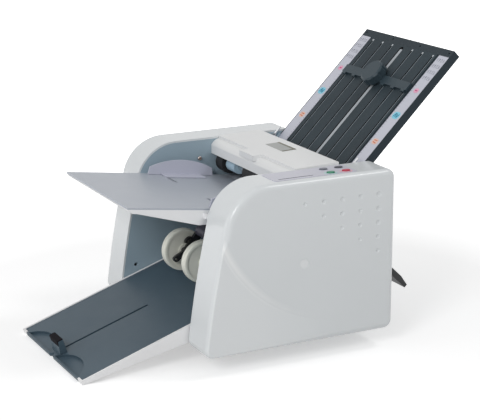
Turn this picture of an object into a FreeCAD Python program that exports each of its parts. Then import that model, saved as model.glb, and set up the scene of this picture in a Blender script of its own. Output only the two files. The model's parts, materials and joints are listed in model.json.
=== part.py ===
import FreeCAD, Part
import math
import os

from FreeCAD import Vector

# Paper folding machine for a desk: a sheet is drawn off the sloping feed table, buckled
# in two slanted fold plates between four rollers, and stacked on the low exit tray.
# While it is modelled, X runs across the machine from the middle, Y runs to the rear
# from the rear face of the side covers, and Z rises from the covers' bottom edge.
# At the end the part is moved so that it stands on Z = 0 over the middle of its box.

# Shared clearances
GAP = 0.3            # between pieces that move past each other
SEAT = 0.05          # between pieces that are pressed or screwed together
RUN = 0.05           # radial play of a shaft in its bore
OVER = 1.0           # how far a cut runs past the face it opens

# Side covers and side plates
CHANNEL_HALF = 123.5
COVER_WIDTH = 60.5
COVER_DEPTH = 302.0
COVER_HEIGHT = 240.0
COVER_WALL = 3.0
COVER_FACE_WALL = 4.5
COVER_CORNER_R = 13.0
COVER_EDGE_R = 10.0
SHOULDER_R = 68.0
SHOULDER_RISE = 8.0
FRONT_LEAN = 29.5
FRONT_BOW_SHARE = 0.43      # how far along its lean the front edge is at half its rise
PLATE_T = 3.0
PLATE_HOLE_Y = -275.5
PLATE_HOLE_Z = 51.7
PLATE_HOLE_R = 2.8
FACET_DEPTH = 2.6
FACET_FADE_SHARE = 0.36     # where the facet fades out, as a share of the cover's depth
RIDGE_SHARES = ((0.907, 0.846), (0.795, 0.508), (0.36, 0.171))
CREASE_SHARES = ((0.960, 0.783), (0.815, 0.442), (0.36, 0.129))
RIDGE_STATIONS = 13
DIMPLE_PITCH_Y = 30.0
DIMPLE_PITCH_Z = 20.8
DIMPLE_REAR = 29.5
DIMPLE_TOP = 34.0
DIMPLE_COUNT = 5
DIMPLE_R_BIG = 4.5
DIMPLE_SHRINK = 0.35
DIMPLE_DEPTH = 1.4
PLUG_Y = -150.0
PLUG_Z = 120.0
PLUG_R = 7.5
PLUG_DEPTH = 0.4

# Base, feet, cross rods and screws
FOOT_HEIGHT = 28.0
FOOT_R = 13.0
FOOT_TAPER = 2.0
FOOT_X = 84.0
FOOT_REAR_Y = 30.0
FOOT_FRONT_Y = 188.0
BASE_Z = 2.0
BASE_T = 3.0
BASE_FRONT_Y = 204.0
BASE_REAR_Y = 2.0
BASE_REAR_TOP = 80.0
BASE_FLANGE = 8.0
ROD_R = 5.0
ROD_LOW_Z = 19.0
ROD_REAR_Y = 20.0
ROD_FRONT_Y = 182.0
ROD_TOP_Y = 16.0
ROD_TOP_Z = 193.0
SCREW_R = 2.0
SCREW_HEAD_R = 4.0
SCREW_HEAD_T = 2.4
SCREW_DEPTH = 8.0

# Rear panel
PANEL_T = 2.5
PANEL_BOTTOM = 117.0
PANEL_TOP = 226.0
PANEL_FLANGE = 13.0
PANEL_FLANGE_START = 12.0
PANEL_FLANGE_RISE = 46.0
VENT_COUNT = 7
VENT_WIDTH = 4.0
VENT_LENGTH = 46.0
VENT_PITCH = 10.0
VENT_X = -52.0
VENT_Z = 172.0

# Fold rollers: the second one drives the three round it
ROLLER_PITCH = 30.0
ROLLER_R = 14.85
ROLLER_HALF = 118.5
ROLLER_JOURNAL_R = 4.0
ROLLER_GROOVE_PITCH = 39.5
ROLLER_GROOVE_WIDTH = 3.0
ROLLER_GROOVE_DEPTH = 0.8
ROLLER_2_Y = -74.4
ROLLER_2_Z = 170.6
ROLLER_1_ANGLE = 110.0
ROLLER_3_ANGLE = -5.0
ROLLER_4_ANGLE = -85.0
BUSH_R = 6.5
BUSH_FLANGE_R = 8.5
BUSH_FLANGE_T = 1.5

# Gears and belts
GEAR_TEETH = 30
GEAR_BACKLASH = 0.16
GEAR_WIDTH = 8.0
GEAR_OFFSET = 5.0
GEAR_HUB_R = 9.0
SHAFT_END = 1.0
PRESSURE_ANGLE = 20.0
PULLEY_WIDTH = 7.0
PULLEY_FLANGE_T = 1.0
PULLEY_FLANGE = 2.6
PULLEY_SPACE = 2.5
MAIN_PULLEY_R = 20.0
MOTOR_PULLEY_R = 10.0
FEED_PULLEY_R = 12.0
FEED_PULLEY_OFFSET = 3.0
BELT_T = 1.8
BELT_GAP = 0.2

# Motor
MOTOR_Y = -112.0
MOTOR_Z = 43.0
MOTOR_R = 28.0
MOTOR_LENGTH = 84.0
MOTOR_BOSS_R = 9.0
MOTOR_SHAFT_R = 3.0
MOTOR_SHAFT_BURY = 24.0
MOTOR_CAP_LENGTH = 12.0
MOTOR_CAP_STEP = 2.0

# Feed roller
FEED_Y = -128.0
FEED_Z = 204.0
FEED_TYRE_R = 16.0
FEED_CENTRE_TYRE_HALF = 20.0
FEED_SIDE_TYRE_IN = 88.0
FEED_SIDE_TYRE_OUT = 109.0
FEED_HUB_IN = 57.0
FEED_HUB_OUT = 84.0
FEED_HUB_R = 10.5
FEED_HUB_FLAT = 2.0

# Feed table, in its own slope
TABLE_ANGLE = -7.5
TABLE_FRONT_Y = -387.0
TABLE_FRONT_Z = 214.0
TABLE_HALF = 115.0
TABLE_LENGTH = 241.0
TABLE_BED_T = 2.3
TABLE_WALL = 2.6
TABLE_BELLY = 24.0
TABLE_BELLY_SHARE = 0.46    # where the belly is deepest, as a share of the length
TABLE_NOSE = 8.0
TABLE_NOSE_SHARE = 0.055
TABLE_NOSE_BEND_SHARE = 0.3
TABLE_TAIL = 12.5
TABLE_LUG_LENGTH = 24.0
TABLE_LUG_T = 7.0
TABLE_LUG_DROP = 4.0
TABLE_LUG_SCREW = 6.0
TABLE_LUG_SHARES = (0.53, 0.86)
BED_SAG_Y = -125.0
BED_SAG_Z = 179.8
BED_LIP_Y = -97.0
BED_LIP_Z = 182.6
BED_WINDOW_HALF = 18.5
BED_WINDOW_SPARE = 1.6
BED_EAR_T = 2.0
BED_EAR_DROP = 12.0
BED_EAR_LENGTH = 12.0

# Paper guides and the pinion that moves them together
GUIDE_INNER_X = 105.6
GUIDE_T = 2.4
GUIDE_FOOT = 22.0
GUIDE_FOOT_T = 1.6
GUIDE_START = 128.0
GUIDE_END = 238.0
GUIDE_HEIGHT = 23.5
GUIDE_END_HEIGHT = 12.0
GUIDE_CREST_SHARE = 0.5
GUIDE_TRAVEL_IN = 31.0
GUIDE_TRAVEL_OUT = 3.0
PINION_U = 152.0
PINION_TEETH = 18
PINION_MODULE = 1.0
PINION_T = 4.0
PINION_TOP = 5.0            # below the top of the bed
PINION_PIN_R = 3.0
PINION_SEAT_R = 6.0
RACK_BACK = 4.5
RACK_SPARE = 6.0
GUIDE_KEEL = 4.0
GUIDE_KEEL_LENGTH = 14.0
GUIDE_SLOT_SPARE = 0.5

# Separator under the feed roller
PAD_HALF = 13.0
PAD_LENGTH = 12.0
PAD_T = 3.0
HOLDER_HALF = 16.0
HOLDER_PIVOT_Y = -110.0
HOLDER_PIVOT_Z = 176.5
HOLDER_PIN_R = 2.0
HOLDER_FRONT = 9.0
HOLDER_T = 7.0
HOLDER_BOSS_R = 3.8

# Roller cover
HOOD_HALF = 122.9
HOOD_WALL = 2.5
HOOD_REAR_Y = -60.0
HOOD_REAR_Z = 243.5
HOOD_STEP_Y = -131.0
HOOD_STEP_Z = 241.2
HOOD_STEP = 4.0
HOOD_NOSE_Y = -144.5
HOOD_NOSE_TOP = 228.0
HOOD_NOSE_BOTTOM = 214.6
HOOD_BROW_Y = -140.0
HOOD_BROW_Z = 233.4
HOOD_SKIRT_REAR = 14.5
HOOD_SKIRT_NOSE = 20.0
HOOD_SKIRT_Y = -110.0
HOOD_SKIRT_Z = 226.0
HINGE_Y = -65.5
HINGE_Z = 233.5
HINGE_PIN_R = 2.0
GRIP_HALF = 22.0
GRIP_REACH = 2.5
GRIP_DROP = 9.0
GRIP_BACK = 9.0
LATCH_PIN_R = 1.6
LATCH_PIN_LENGTH = 15.0
LATCH_PIN_Y = -36.0
LATCH_PIN_Z = 234.0
LATCH_PIN_IN = 5.0
LATCH_FOOT_R = 2.2
WINDOW_X = -4.0
WINDOW_HALF = 27.0
WINDOW_LENGTH = 24.0
WINDOW_T = 0.8
WINDOW_FROM_REAR = 14.0
WINDOW_PROUD = 0.2

# Upper fold plate, in its own slope from its top edge. Its foot lies over the rollers.
UPPER_ANGLE = 44.8
UPPER_FOOT_Y = -65.8
UPPER_FOOT_Z = 189.6
FOLD_HALF = 122.4
UPPER_LENGTH = 283.0
UPPER_T = 13.0
FOLD_FRONT_T = 3.2
FOLD_CHANNEL = 3.4
FOLD_TOP_BAR = 12.5
FOLD_RAIL = 30.5
FOLD_LEDGE = 4.0
FOLD_LEDGE_T = 1.1
CHANNEL_PAPER_HALF = 110.0
FOLD_LIP = 0.8
FOLD_LIP_DROP = 0.9
SLOT_PITCH = 28.0
SLOT_SIDE_COUNT = 3
SLOT_WIDTH = 3.0
SLOT_CENTRE_WIDTH = 9.5
SLOT_END = 15.0
SLOT_INNER_END = 12.0
PEG_X = 115.0
PEG_INNER_X = 38.0
PEG_FROM_TOP = 6.0
PEG_HOLE_R = 1.6
PEG_DEPTH = 3.0
SCALE_WIDTH = 25.0
SCALE_T = 0.6
STOP_HALF = 91.0
STOP_T = 4.0
STOP_WIDTH = 17.0
STOP_TOOTH = 3.0
STOP_TOOTH_WIDTH = 9.0
STOP_FINGER = 2.2
STOP_FINGER_LENGTH = 5.0
STOP_BOSS_R = 15.5
STOP_BELOW_KNOB = 12.0
UPPER_STOP_AT = 77.0
KNOB_R = 20.0
KNOB_HEIGHT = 14.0
KNOB_BEVEL = 2.5
KNOB_STEM_R = 2.6
KNOB_LIFT = 0.2
KNOB_SCALLOPS = 10
KNOB_SCALLOP_R = 4.0
KNOB_SCALLOP_DEPTH = 0.9
RAIL_T = 3.0
RAIL_REACH = 3.6
UPPER_RAIL_BACK = 21.0
UPPER_RAIL_LENGTH = 40.0

# Lower fold plate, in its own slope from its outer end
LOWER_ANGLE = -44.0
LOWER_TIP_Y = 65.3
LOWER_TIP_Z = 41.7
LOWER_LENGTH = 158.0
LOWER_T = 9.0
LOWER_FRONT_T = 2.8
LOWER_CHANNEL = 3.2
LOWER_TIP_TAPER = 3.5
LOWER_TAPER_LENGTH = 18.0
LOWER_CHANNEL_END = 13.0
LOWER_SLOT_OUT = 18.0
LOWER_BOSS_R = 12.5
LOWER_STOP_AT = 68.0
LOWER_KNOB_R = 14.0
LOWER_KNOB_HEIGHT = 10.5
LOWER_SLOT_IN = 86.0
LOWER_RAIL_BACK = 20.0
LOWER_RAIL_LENGTH = 38.0

# Exit hood, chute, stacker arm and discs
TONGUE_HALF = 14.0
TONGUE_R = 9.0
TONGUE_TIP_Y = -216.0
TONGUE_TIP_Z = 127.0
TONGUE_ROOT_Y = -140.0
TONGUE_ROOT_Z = 153.0
TONGUE_ROOT_R = 5.5
EXIT_HOOD_T = 2.5
EXIT_HOOD_REAR_Y = -98.0
EXIT_HOOD_REAR_Z = 160.0
CHUTE_T = 2.0
CHUTE_TOP = (-91.0, 147.0)
CHUTE_MIDDLE = (-142.0, 103.0)
CHUTE_END = (-205.0, 71.0)
ARM_PIVOT_Y = -204.0
ARM_PIVOT_Z = 130.6
ARM_PIN_R = 3.0
ARM_INNER_X = 20.5
ARM_T = 5.0
ARM_BOSS_R = 6.5
ARM_LEG_R = 3.2
ARM_EYE_R = 4.6
ARM_EYE_BORE_R = 2.0
ARM_EYE_Y = -253.0
ARM_EYE_Z = 85.0
ARM_HOOK_R = 8.5
ARM_HOOK_T = 3.6
ARM_HOOK_Y = -230.0
ARM_HOOK_Z = 108.0
DISC_Y = -237.0
DISC_Z = 95.0
DISC_R = 32.0
DISC_X = 35.0
DISC_T = 13.0
DISC_EDGE_R = 2.5
DISC_DISH_R = 27.0
DISC_DISH = 2.0
DISC_HUB_R = 8.0
AXLE_R = 3.0
AXLE_CLIP_T = 1.6
AXLE_CLIP_R = 5.0

# Exit tray, in its own slope from its front edge
TRAY_ANGLE = 18.6
TRAY_FRONT_Y = -463.6
TRAY_FRONT_Z = -22.0
TRAY_HALF = 120.0
TRAY_LENGTH = 270.0
TRAY_WALL = 3.0
TRAY_FRONT_DEPTH = 6.2
TRAY_REAR_DEPTH = 36.0
TRAY_BED_DROP = 0.8
TRAY_BED_T = 2.6
TRAY_LEDGE = 5.0
TRAY_LEDGE_T = 2.4
TRAY_CORNER = 15.0
TRAY_FLOOR_T = 2.2
TRAY_END_BLOCK = 29.0
TRAY_END_BLOCK_T = 5.2
TRAY_REAR_DROP = 5.0
TRAY_PIN_R = 5.0
TRAY_PIN_BACK = 14.0
TRAY_PIN_DROP = 20.0
SCOOP_IN = 9.0
SCOOP_OUT = 101.0
SCOOP_DEEP = 26.0
SCOOP_RIM = 3.0
SCOOP_DEPTH = 4.0
NOTCH_HALF = 8.0
NOTCH_DEEP = 6.5
LETTER_STOP_HALF = 16.5
LETTER_STOP_LENGTH = 11.5
LETTER_STOP_HEIGHT = 20.0
LETTER_STOP_AT = 9.0
LETTER_STOP_BATTER = 4.0
LETTER_STOP_KEEL_HALF = 2.0
LETTER_STOP_KEEL = 3.2
LETTER_STOP_SLOT_HALF = 2.4
LETTER_STOP_TRAVEL = 140.0

# Control panel, buttons and power inlet on the right cover
LABEL_INNER = 3.5
LABEL_WIDTH = 44.0
LABEL_FRONT_Y = -190.0
LABEL_REAR_Y = -57.0
LABEL_T = 0.6
LABEL_CORNER_R = 4.0
BUTTON_LENGTH = 12.0
BUTTON_WIDTH = 8.0
BUTTON_RISE = 1.8
BUTTON_FLANGE = 1.2
BUTTON_FLANGE_T = 1.2
BUTTON_STEM = 5.0
BUTTON_TRAVEL = 1.2
BUTTON_INNER_X = 18.5
BUTTON_OUTER_X = 39.5
BUTTON_FRONT_Y = -97.0
BUTTON_REAR_Y = -72.0
SLIT_X = 39.5
SLIT_FRONT_Y = -181.0
SLIT_REAR_Y = -125.0
SLIT_WIDTH = 3.0
SLIT_DEPTH = 1.2
BOARD_T = 1.6
BOARD_DROP = 15.0
BOARD_INNER = 8.0
BOARD_WIDTH = 42.0
BOARD_POST_R = 3.0
BOARD_INSET = 5.0
BOARD_FRONT_Y = -193.0
BOARD_REAR_Y = -49.0
SWITCH_SIDE = 6.0
INLET_X = 26.0
INLET_Z = 46.0
INLET_WIDTH = 28.0
INLET_HEIGHT = 48.0
INLET_FLANGE = 2.0
INLET_FLANGE_T = 1.8
INLET_DEPTH = 26.0
SOCKET_WIDTH = 24.0
SOCKET_HEIGHT = 16.0
SOCKET_DEPTH = 16.0
SOCKET_BELOW = 11.0
BLADE_T = 2.0
BLADE_PITCH = 7.0
BLADE_RISE = 4.0
BLADE_SHORT = 3.0
BLADE_HEIGHT = 6.0
ROCKER_ABOVE = 12.5
ROCKER_WIDTH = 20.0
ROCKER_HEIGHT = 13.0
ROCKER_DEPTH = 4.5
ROCKER_BACK_HALF = 4.0
ROCKER_TIP_SHARES = (0.7, 0.64)
ROCKER_SIDE_SHARES = (0.3, 0.9)
ROCKER_VALLEY_SHARE = 0.48
ROCKER_PIVOT_Y = -0.4
ROCKER_ANGLE = 14.0
ROCKER_PIN = 1.5
ROCKER_PIN_R = 1.5

# Places worked out from the sizes above
PLATE_OUT = CHANNEL_HALF + PLATE_T
COVER_OUT = CHANNEL_HALF + COVER_WIDTH
GEAR_IN_X = PLATE_OUT + GEAR_OFFSET
GEAR_OUT_X = GEAR_IN_X + GEAR_WIDTH
PULLEY_IN_X = GEAR_OUT_X + PULLEY_SPACE
PULLEY_OUT_X = PULLEY_IN_X + PULLEY_WIDTH
FEED_PULLEY_IN_X = PLATE_OUT + FEED_PULLEY_OFFSET
FEED_PULLEY_OUT_X = FEED_PULLEY_IN_X + PULLEY_WIDTH
GEAR_MODULE = ROLLER_PITCH / GEAR_TEETH
RIGHT_ANGLE = 90.0
DEDENDUM_SHARE = 1.25
FLANK_STEPS = 4
PINION_R = PINION_MODULE * PINION_TEETH / 2
UPPER_TOP_Y = UPPER_FOOT_Y + UPPER_LENGTH * math.cos(math.radians(UPPER_ANGLE))
UPPER_TOP_Z = UPPER_FOOT_Z + UPPER_LENGTH * math.sin(math.radians(UPPER_ANGLE))


def around(centre, radius, degrees):
    """Point at an angle round a centre, in the side view."""
    angle = math.radians(degrees)
    return (centre[0] + radius * math.cos(angle), centre[1] + radius * math.sin(angle))


ROLLER_2 = (ROLLER_2_Y, ROLLER_2_Z)
ROLLER_1 = around(ROLLER_2, ROLLER_PITCH, ROLLER_1_ANGLE)
ROLLER_3 = around(ROLLER_2, ROLLER_PITCH, ROLLER_3_ANGLE)
ROLLER_4 = around(ROLLER_2, ROLLER_PITCH, ROLLER_4_ANGLE)
FEED = (FEED_Y, FEED_Z)
MOTOR = (MOTOR_Y, MOTOR_Z)
DISC = (DISC_Y, DISC_Z)
ARM_PIVOT = (ARM_PIVOT_Y, ARM_PIVOT_Z)


# Basic shapes
def block(x0, x1, y0, y1, z0, z1):
    return Part.makeBox(x1 - x0, y1 - y0, z1 - z0, Vector(x0, y0, z0))


def rod(radius, x0, x1, centre):
    return Part.makeCylinder(radius, x1 - x0, Vector(x0, centre[0], centre[1]), Vector(1, 0, 0))


def post(radius, x, y, z0, z1):
    return Part.makeCylinder(radius, z1 - z0, Vector(x, y, z0), Vector(0, 0, 1))


def side_wire(start, steps):
    """Closed outline in the side view. A step is a point, or a pair: middle and end of an arc."""
    edges = []
    first = Vector(0, start[0], start[1])
    here = first
    for step in steps:
        if isinstance(step[0], tuple):
            middle, end = (Vector(0, p[0], p[1]) for p in step)
            edges.append(Part.Arc(here, middle, end).toShape())
        else:
            end = Vector(0, step[0], step[1])
            edges.append(Part.LineSegment(here, end).toShape())
        here = end
    if (here - first).Length > 0:
        edges.append(Part.LineSegment(here, first).toShape())
    return Part.Wire(edges)


def prism(wire, x0, x1):
    face = Part.Face(wire)
    face.translate(Vector(x0, 0, 0))
    return face.extrude(Vector(x1 - x0, 0, 0))


def side_prism(points, x0, x1):
    return prism(side_wire(points[0], points[1:]), x0, x1)


def fused(shapes):
    whole = shapes[0]
    if len(shapes) > 1:
        whole = whole.multiFuse(shapes[1:])
    return whole.removeSplitter()


def cut(shape, tools):
    return shape.cut(Part.makeCompound(tools))


def mirrored(shape):
    return shape.mirror(Vector(0, 0, 0), Vector(1, 0, 0))


def both_sides(shape):
    return [shape, mirrored(shape)]


def laid(shape, slope, y, z):
    """Turn a shape from its own slope's frame into the machine's frame."""
    copy = shape.copy()
    copy.rotate(Vector(0, 0, 0), Vector(1, 0, 0), slope)
    copy.translate(Vector(0, y, z))
    return copy


def laid_point(u, w, slope, y, z):
    angle = math.radians(slope)
    return (y + u * math.cos(angle) - w * math.sin(angle), z + u * math.sin(angle) + w * math.cos(angle))


def on_table(shape):
    return laid(shape, TABLE_ANGLE, TABLE_FRONT_Y, TABLE_FRONT_Z)


def on_tray(shape):
    return laid(shape, TRAY_ANGLE, TRAY_FRONT_Y, TRAY_FRONT_Z)


def on_upper(shape):
    return laid(shape, UPPER_ANGLE, UPPER_TOP_Y, UPPER_TOP_Z)


def on_lower(shape):
    return laid(shape, LOWER_ANGLE, LOWER_TIP_Y, LOWER_TIP_Z)


def oval(x, y, length, width, z0, z1):
    """Upright prism with round ends, long along Y."""
    r = width / 2
    reach = length / 2 - r
    start = Vector(x - r, y - reach, z0)
    front = Part.Arc(start, Vector(x, y - length / 2, z0), Vector(x + r, y - reach, z0)).toShape()
    right = Part.LineSegment(Vector(x + r, y - reach, z0), Vector(x + r, y + reach, z0)).toShape()
    rear = Part.Arc(Vector(x + r, y + reach, z0), Vector(x, y + length / 2, z0),
                    Vector(x - r, y + reach, z0)).toShape()
    left = Part.LineSegment(Vector(x - r, y + reach, z0), start).toShape()
    return Part.Face(Part.Wire([front, right, rear, left])).extrude(Vector(0, 0, z1 - z0))


# Side covers
def cover_wire(inset):
    """Side view of a cover: flat bottom, leaning front, round shoulder, flat top."""
    shoulder_run = math.sqrt(SHOULDER_R ** 2 - SHOULDER_RISE ** 2)
    shoulder = (-COVER_DEPTH + FRONT_LEAN + shoulder_run, COVER_HEIGHT - SHOULDER_R)
    r = COVER_CORNER_R
    front_top = (shoulder[0] - shoulder_run, shoulder[1] + SHOULDER_RISE)
    front_low = (-COVER_DEPTH, r)
    rise = (front_low[1] + front_top[1]) / 2
    start = (-r, 0.0)
    steps = [
        (-COVER_DEPTH + r, 0.0),
        (around((-COVER_DEPTH + r, r), r, 225), front_low),
        ((-COVER_DEPTH + FRONT_LEAN * FRONT_BOW_SHARE, rise), front_top),
        (around(shoulder, SHOULDER_R, 128), (shoulder[0], COVER_HEIGHT)),
        (-r, COVER_HEIGHT),
        (around((-r, COVER_HEIGHT - r), r, 45), (0.0, COVER_HEIGHT - r)),
        (0.0, r),
        (around((-r, r), r, -45), start),
    ]
    wire = side_wire(start, steps)
    return wire.makeOffset2D(-inset) if inset else wire


def outer_edges(shape, x):
    """Edges that lie wholly in the plane at x."""
    return [e for e in shape.Edges if abs(e.BoundBox.XMin - x) < SEAT and abs(e.BoundBox.XMax - x) < SEAT]


def relief_line(shares):
    """Points along an arc on the outer face, from shares of the cover's depth and height."""
    places = [Vector(0, -COVER_DEPTH * share[0], COVER_HEIGHT * share[1]) for share in shares]
    return Part.Arc(places[0], places[1], places[2]).toShape().discretize(RIDGE_STATIONS)


def facet_tool():
    """Wedge that shaves the outer face below the crease, deepest at the front."""
    low = -COVER_CORNER_R
    front = -COVER_DEPTH - COVER_CORNER_R
    crease = [(p.y, p.z) for p in relief_line(CREASE_SHARES)]
    wire = side_wire(crease[0], crease[1:] + [(crease[-1][0], low), (front, low), (front, crease[0][1])])
    fade = -COVER_DEPTH * FACET_FADE_SHARE
    slope = math.degrees(math.atan2(FACET_DEPTH, COVER_DEPTH + fade))
    tool = prism(wire, COVER_OUT, COVER_OUT + COVER_WALL)
    deep = prism(wire, COVER_OUT - COVER_FACE_WALL, COVER_OUT)
    wedge = block(COVER_OUT, COVER_OUT + COVER_FACE_WALL + COVER_DEPTH, front - COVER_DEPTH,
                  fade, low, COVER_HEIGHT)
    wedge.rotate(Vector(COVER_OUT, fade, 0), Vector(0, 0, 1), -slope)
    return fused([tool, deep.common(wedge)])


def facet_depth(y):
    fade = COVER_DEPTH * FACET_FADE_SHARE
    return max(FACET_DEPTH * (-y - fade) / (COVER_DEPTH - fade), 0.0)


def ridge_tool():
    """Band that slopes from the ridge line down to the crease."""
    low = COVER_OUT + SEAT
    high = COVER_OUT + COVER_WALL
    sections = []
    for inner, outer in zip(relief_line(RIDGE_SHARES), relief_line(CREASE_SHARES)):
        sunk = low - facet_depth(outer.y)
        corners = [Vector(low, inner.y, inner.z), Vector(sunk, outer.y, outer.z),
                   Vector(high, outer.y, outer.z), Vector(high, inner.y, inner.z)]
        sections.append(Part.makePolygon(corners + corners[:1]))
    return Part.makeLoft(sections, True, True)


def dimple_tools():
    tools = []
    for column in range(DIMPLE_COUNT):
        y = -DIMPLE_REAR - column * DIMPLE_PITCH_Y
        for row in range(DIMPLE_COUNT - column):
            r = DIMPLE_R_BIG - DIMPLE_SHRINK * (column + row)
            z = COVER_HEIGHT - DIMPLE_TOP - row * DIMPLE_PITCH_Z
            ball = (r ** 2 + DIMPLE_DEPTH ** 2) / (2 * DIMPLE_DEPTH)
            tools.append(Part.makeSphere(ball, Vector(COVER_OUT + ball - DIMPLE_DEPTH, y, z)))
    return tools


def side_cover():
    """One cover shell, right-hand, open towards the channel."""
    shell = prism(cover_wire(0.0), CHANNEL_HALF, COVER_OUT)
    shell = shell.makeFillet(COVER_EDGE_R, outer_edges(shell, COVER_OUT))
    hollow = prism(cover_wire(COVER_WALL), CHANNEL_HALF - OVER, COVER_OUT - COVER_FACE_WALL - FACET_DEPTH)
    shell = shell.cut(hollow)
    plug = rod(PLUG_R, COVER_OUT - PLUG_DEPTH, COVER_OUT + OVER, (PLUG_Y, PLUG_Z))
    return cut(shell.cut(ridge_tool()), [facet_tool(), plug] + dimple_tools())


def button_places():
    """The four buttons: inner pair and outer pair, front first."""
    places = []
    for offset in (BUTTON_INNER_X, BUTTON_OUTER_X):
        for y in (BUTTON_FRONT_Y, BUTTON_REAR_Y):
            places.append((CHANNEL_HALF + offset, y))
    return places


def board_box():
    x0 = PLATE_OUT + BOARD_INNER
    return x0, x0 + BOARD_WIDTH, BOARD_FRONT_Y, BOARD_REAR_Y


def board_posts():
    x0, x1, y0, y1 = board_box()
    top = COVER_HEIGHT - COVER_WALL
    low = COVER_HEIGHT - BOARD_DROP
    return [post(BOARD_POST_R, x, y, low, top + COVER_WALL / 2)
            for x in (x0 + BOARD_INSET, x1 - BOARD_INSET) for y in (y0 + BOARD_INSET, y1 - BOARD_INSET)]


def inlet_box(spare, depth):
    x = CHANNEL_HALF + INLET_X
    return block(x - INLET_WIDTH / 2 - spare, x + INLET_WIDTH / 2 + spare, -depth, OVER,
                 INLET_Z - INLET_HEIGHT / 2 - spare, INLET_Z + INLET_HEIGHT / 2 + spare)


def right_side_cover():
    cover = fused([side_cover()] + board_posts())
    x_slit = CHANNEL_HALF + SLIT_X
    slit_middle = (SLIT_FRONT_Y + SLIT_REAR_Y) / 2
    tools = [oval(x, y, BUTTON_LENGTH + 2 * GAP, BUTTON_WIDTH + 2 * GAP, COVER_HEIGHT - COVER_WALL - OVER,
                  COVER_HEIGHT + OVER) for x, y in button_places()]
    tools.append(oval(x_slit, slit_middle, SLIT_REAR_Y - SLIT_FRONT_Y, SLIT_WIDTH,
                      COVER_HEIGHT - SLIT_DEPTH, COVER_HEIGHT + OVER))
    tools.append(inlet_box(GAP, COVER_WALL + OVER))
    return cut(cover, tools)


def left_side_cover():
    return mirrored(side_cover())


# Side plates, which carry every shaft
def shaft_places():
    return [ROLLER_1, ROLLER_2, ROLLER_3, ROLLER_4, FEED]


def rod_places():
    return [(-ROD_REAR_Y, ROD_LOW_Z), (-ROD_FRONT_Y, ROD_LOW_Z), (-ROD_TOP_Y, ROD_TOP_Z)]


def lug_places():
    """Centres of the table's side lugs in the side view."""
    places = []
    for share in TABLE_LUG_SHARES:
        w = -TABLE_BED_T - TABLE_LUG_DROP - TABLE_LUG_T / 2
        places.append(laid_point(TABLE_LENGTH * share, w, TABLE_ANGLE, TABLE_FRONT_Y, TABLE_FRONT_Z))
    return places


def tray_pin_place():
    return laid_point(TRAY_LENGTH - TRAY_PIN_BACK, -TRAY_PIN_DROP, TRAY_ANGLE, TRAY_FRONT_Y, TRAY_FRONT_Z)


def fold_rails(laid_by, thickness, from_end, length):
    """Two ledges that hold one edge of a fold plate between them."""
    x0 = CHANNEL_HALF - RAIL_REACH
    inner = from_end
    x1 = CHANNEL_HALF + SEAT
    under = -thickness - GAP
    ledges = [block(x0, x1, inner, inner + length, under - RAIL_T, under),
              block(x0, x1, inner, inner + length, GAP, GAP + RAIL_T)]
    return [laid_by(ledge) for ledge in ledges]


def side_plate():
    plate = prism(cover_wire(COVER_WALL + SEAT), CHANNEL_HALF, PLATE_OUT)
    holes = [rod(BUSH_R + SEAT, CHANNEL_HALF - OVER, PLATE_OUT + OVER, p) for p in shaft_places()]
    screws = rod_places() + lug_places()
    holes += [rod(SCREW_R + SEAT, CHANNEL_HALF - OVER, PLATE_OUT + OVER, p) for p in screws]
    holes.append(rod(TRAY_PIN_R + RUN, CHANNEL_HALF - OVER, PLATE_OUT + OVER, tray_pin_place()))
    holes.append(rod(HINGE_PIN_R + SEAT, CHANNEL_HALF - OVER, PLATE_OUT + OVER, (HINGE_Y, HINGE_Z)))
    holes.append(rod(PLATE_HOLE_R, CHANNEL_HALF - OVER, PLATE_OUT + OVER, (PLATE_HOLE_Y, PLATE_HOLE_Z)))
    return cut(plate, holes)


def right_side_plate():
    plate = cut(side_plate(), [rod(MOTOR_BOSS_R + GAP, CHANNEL_HALF - OVER, PLATE_OUT + OVER, MOTOR)])
    rails = fold_rails(on_upper, UPPER_T, -UPPER_LENGTH + UPPER_RAIL_BACK, UPPER_RAIL_LENGTH)
    rails += fold_rails(on_lower, LOWER_T, -LOWER_LENGTH + LOWER_RAIL_BACK, LOWER_RAIL_LENGTH)
    return fused([plate] + rails)


def left_side_plate():
    rails = fold_rails(on_upper, UPPER_T, -UPPER_LENGTH + UPPER_RAIL_BACK, UPPER_RAIL_LENGTH)
    rails += fold_rails(on_lower, LOWER_T, -LOWER_LENGTH + LOWER_RAIL_BACK, LOWER_RAIL_LENGTH)
    return mirrored(fused([side_plate()] + rails))


# Base, feet, rods, screws and rear panel
def base_plate():
    half = CHANNEL_HALF - GAP
    floor = block(-half, half, -BASE_FRONT_Y, -BASE_REAR_Y, BASE_Z, BASE_Z + BASE_T)
    skirt = block(-half, half, -BASE_REAR_Y - BASE_T, -BASE_REAR_Y, BASE_Z, BASE_REAR_TOP)
    flange = block(half - BASE_T, half, -BASE_FRONT_Y, -BASE_REAR_Y, BASE_Z, BASE_Z + BASE_T + BASE_FLANGE)
    return fused([floor, skirt] + both_sides(flange))


def rubber_feet():
    feet = []
    for y in (-FOOT_REAR_Y, -FOOT_FRONT_Y):
        foot = Part.makeCone(FOOT_R - FOOT_TAPER, FOOT_R, FOOT_HEIGHT + BASE_Z,
                             Vector(FOOT_X, y, -FOOT_HEIGHT), Vector(0, 0, 1))
        feet += both_sides(foot)
    return Part.makeCompound(feet)


def cross_rods():
    rods = []
    half = CHANNEL_HALF - SEAT
    for place in rod_places():
        bar = rod(ROD_R, -half, half, place)
        hole = rod(SCREW_R + SEAT, half - SCREW_DEPTH - OVER, half + OVER, place)
        rods.append(cut(bar, both_sides(hole)))
    return Part.makeCompound(rods)


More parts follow.
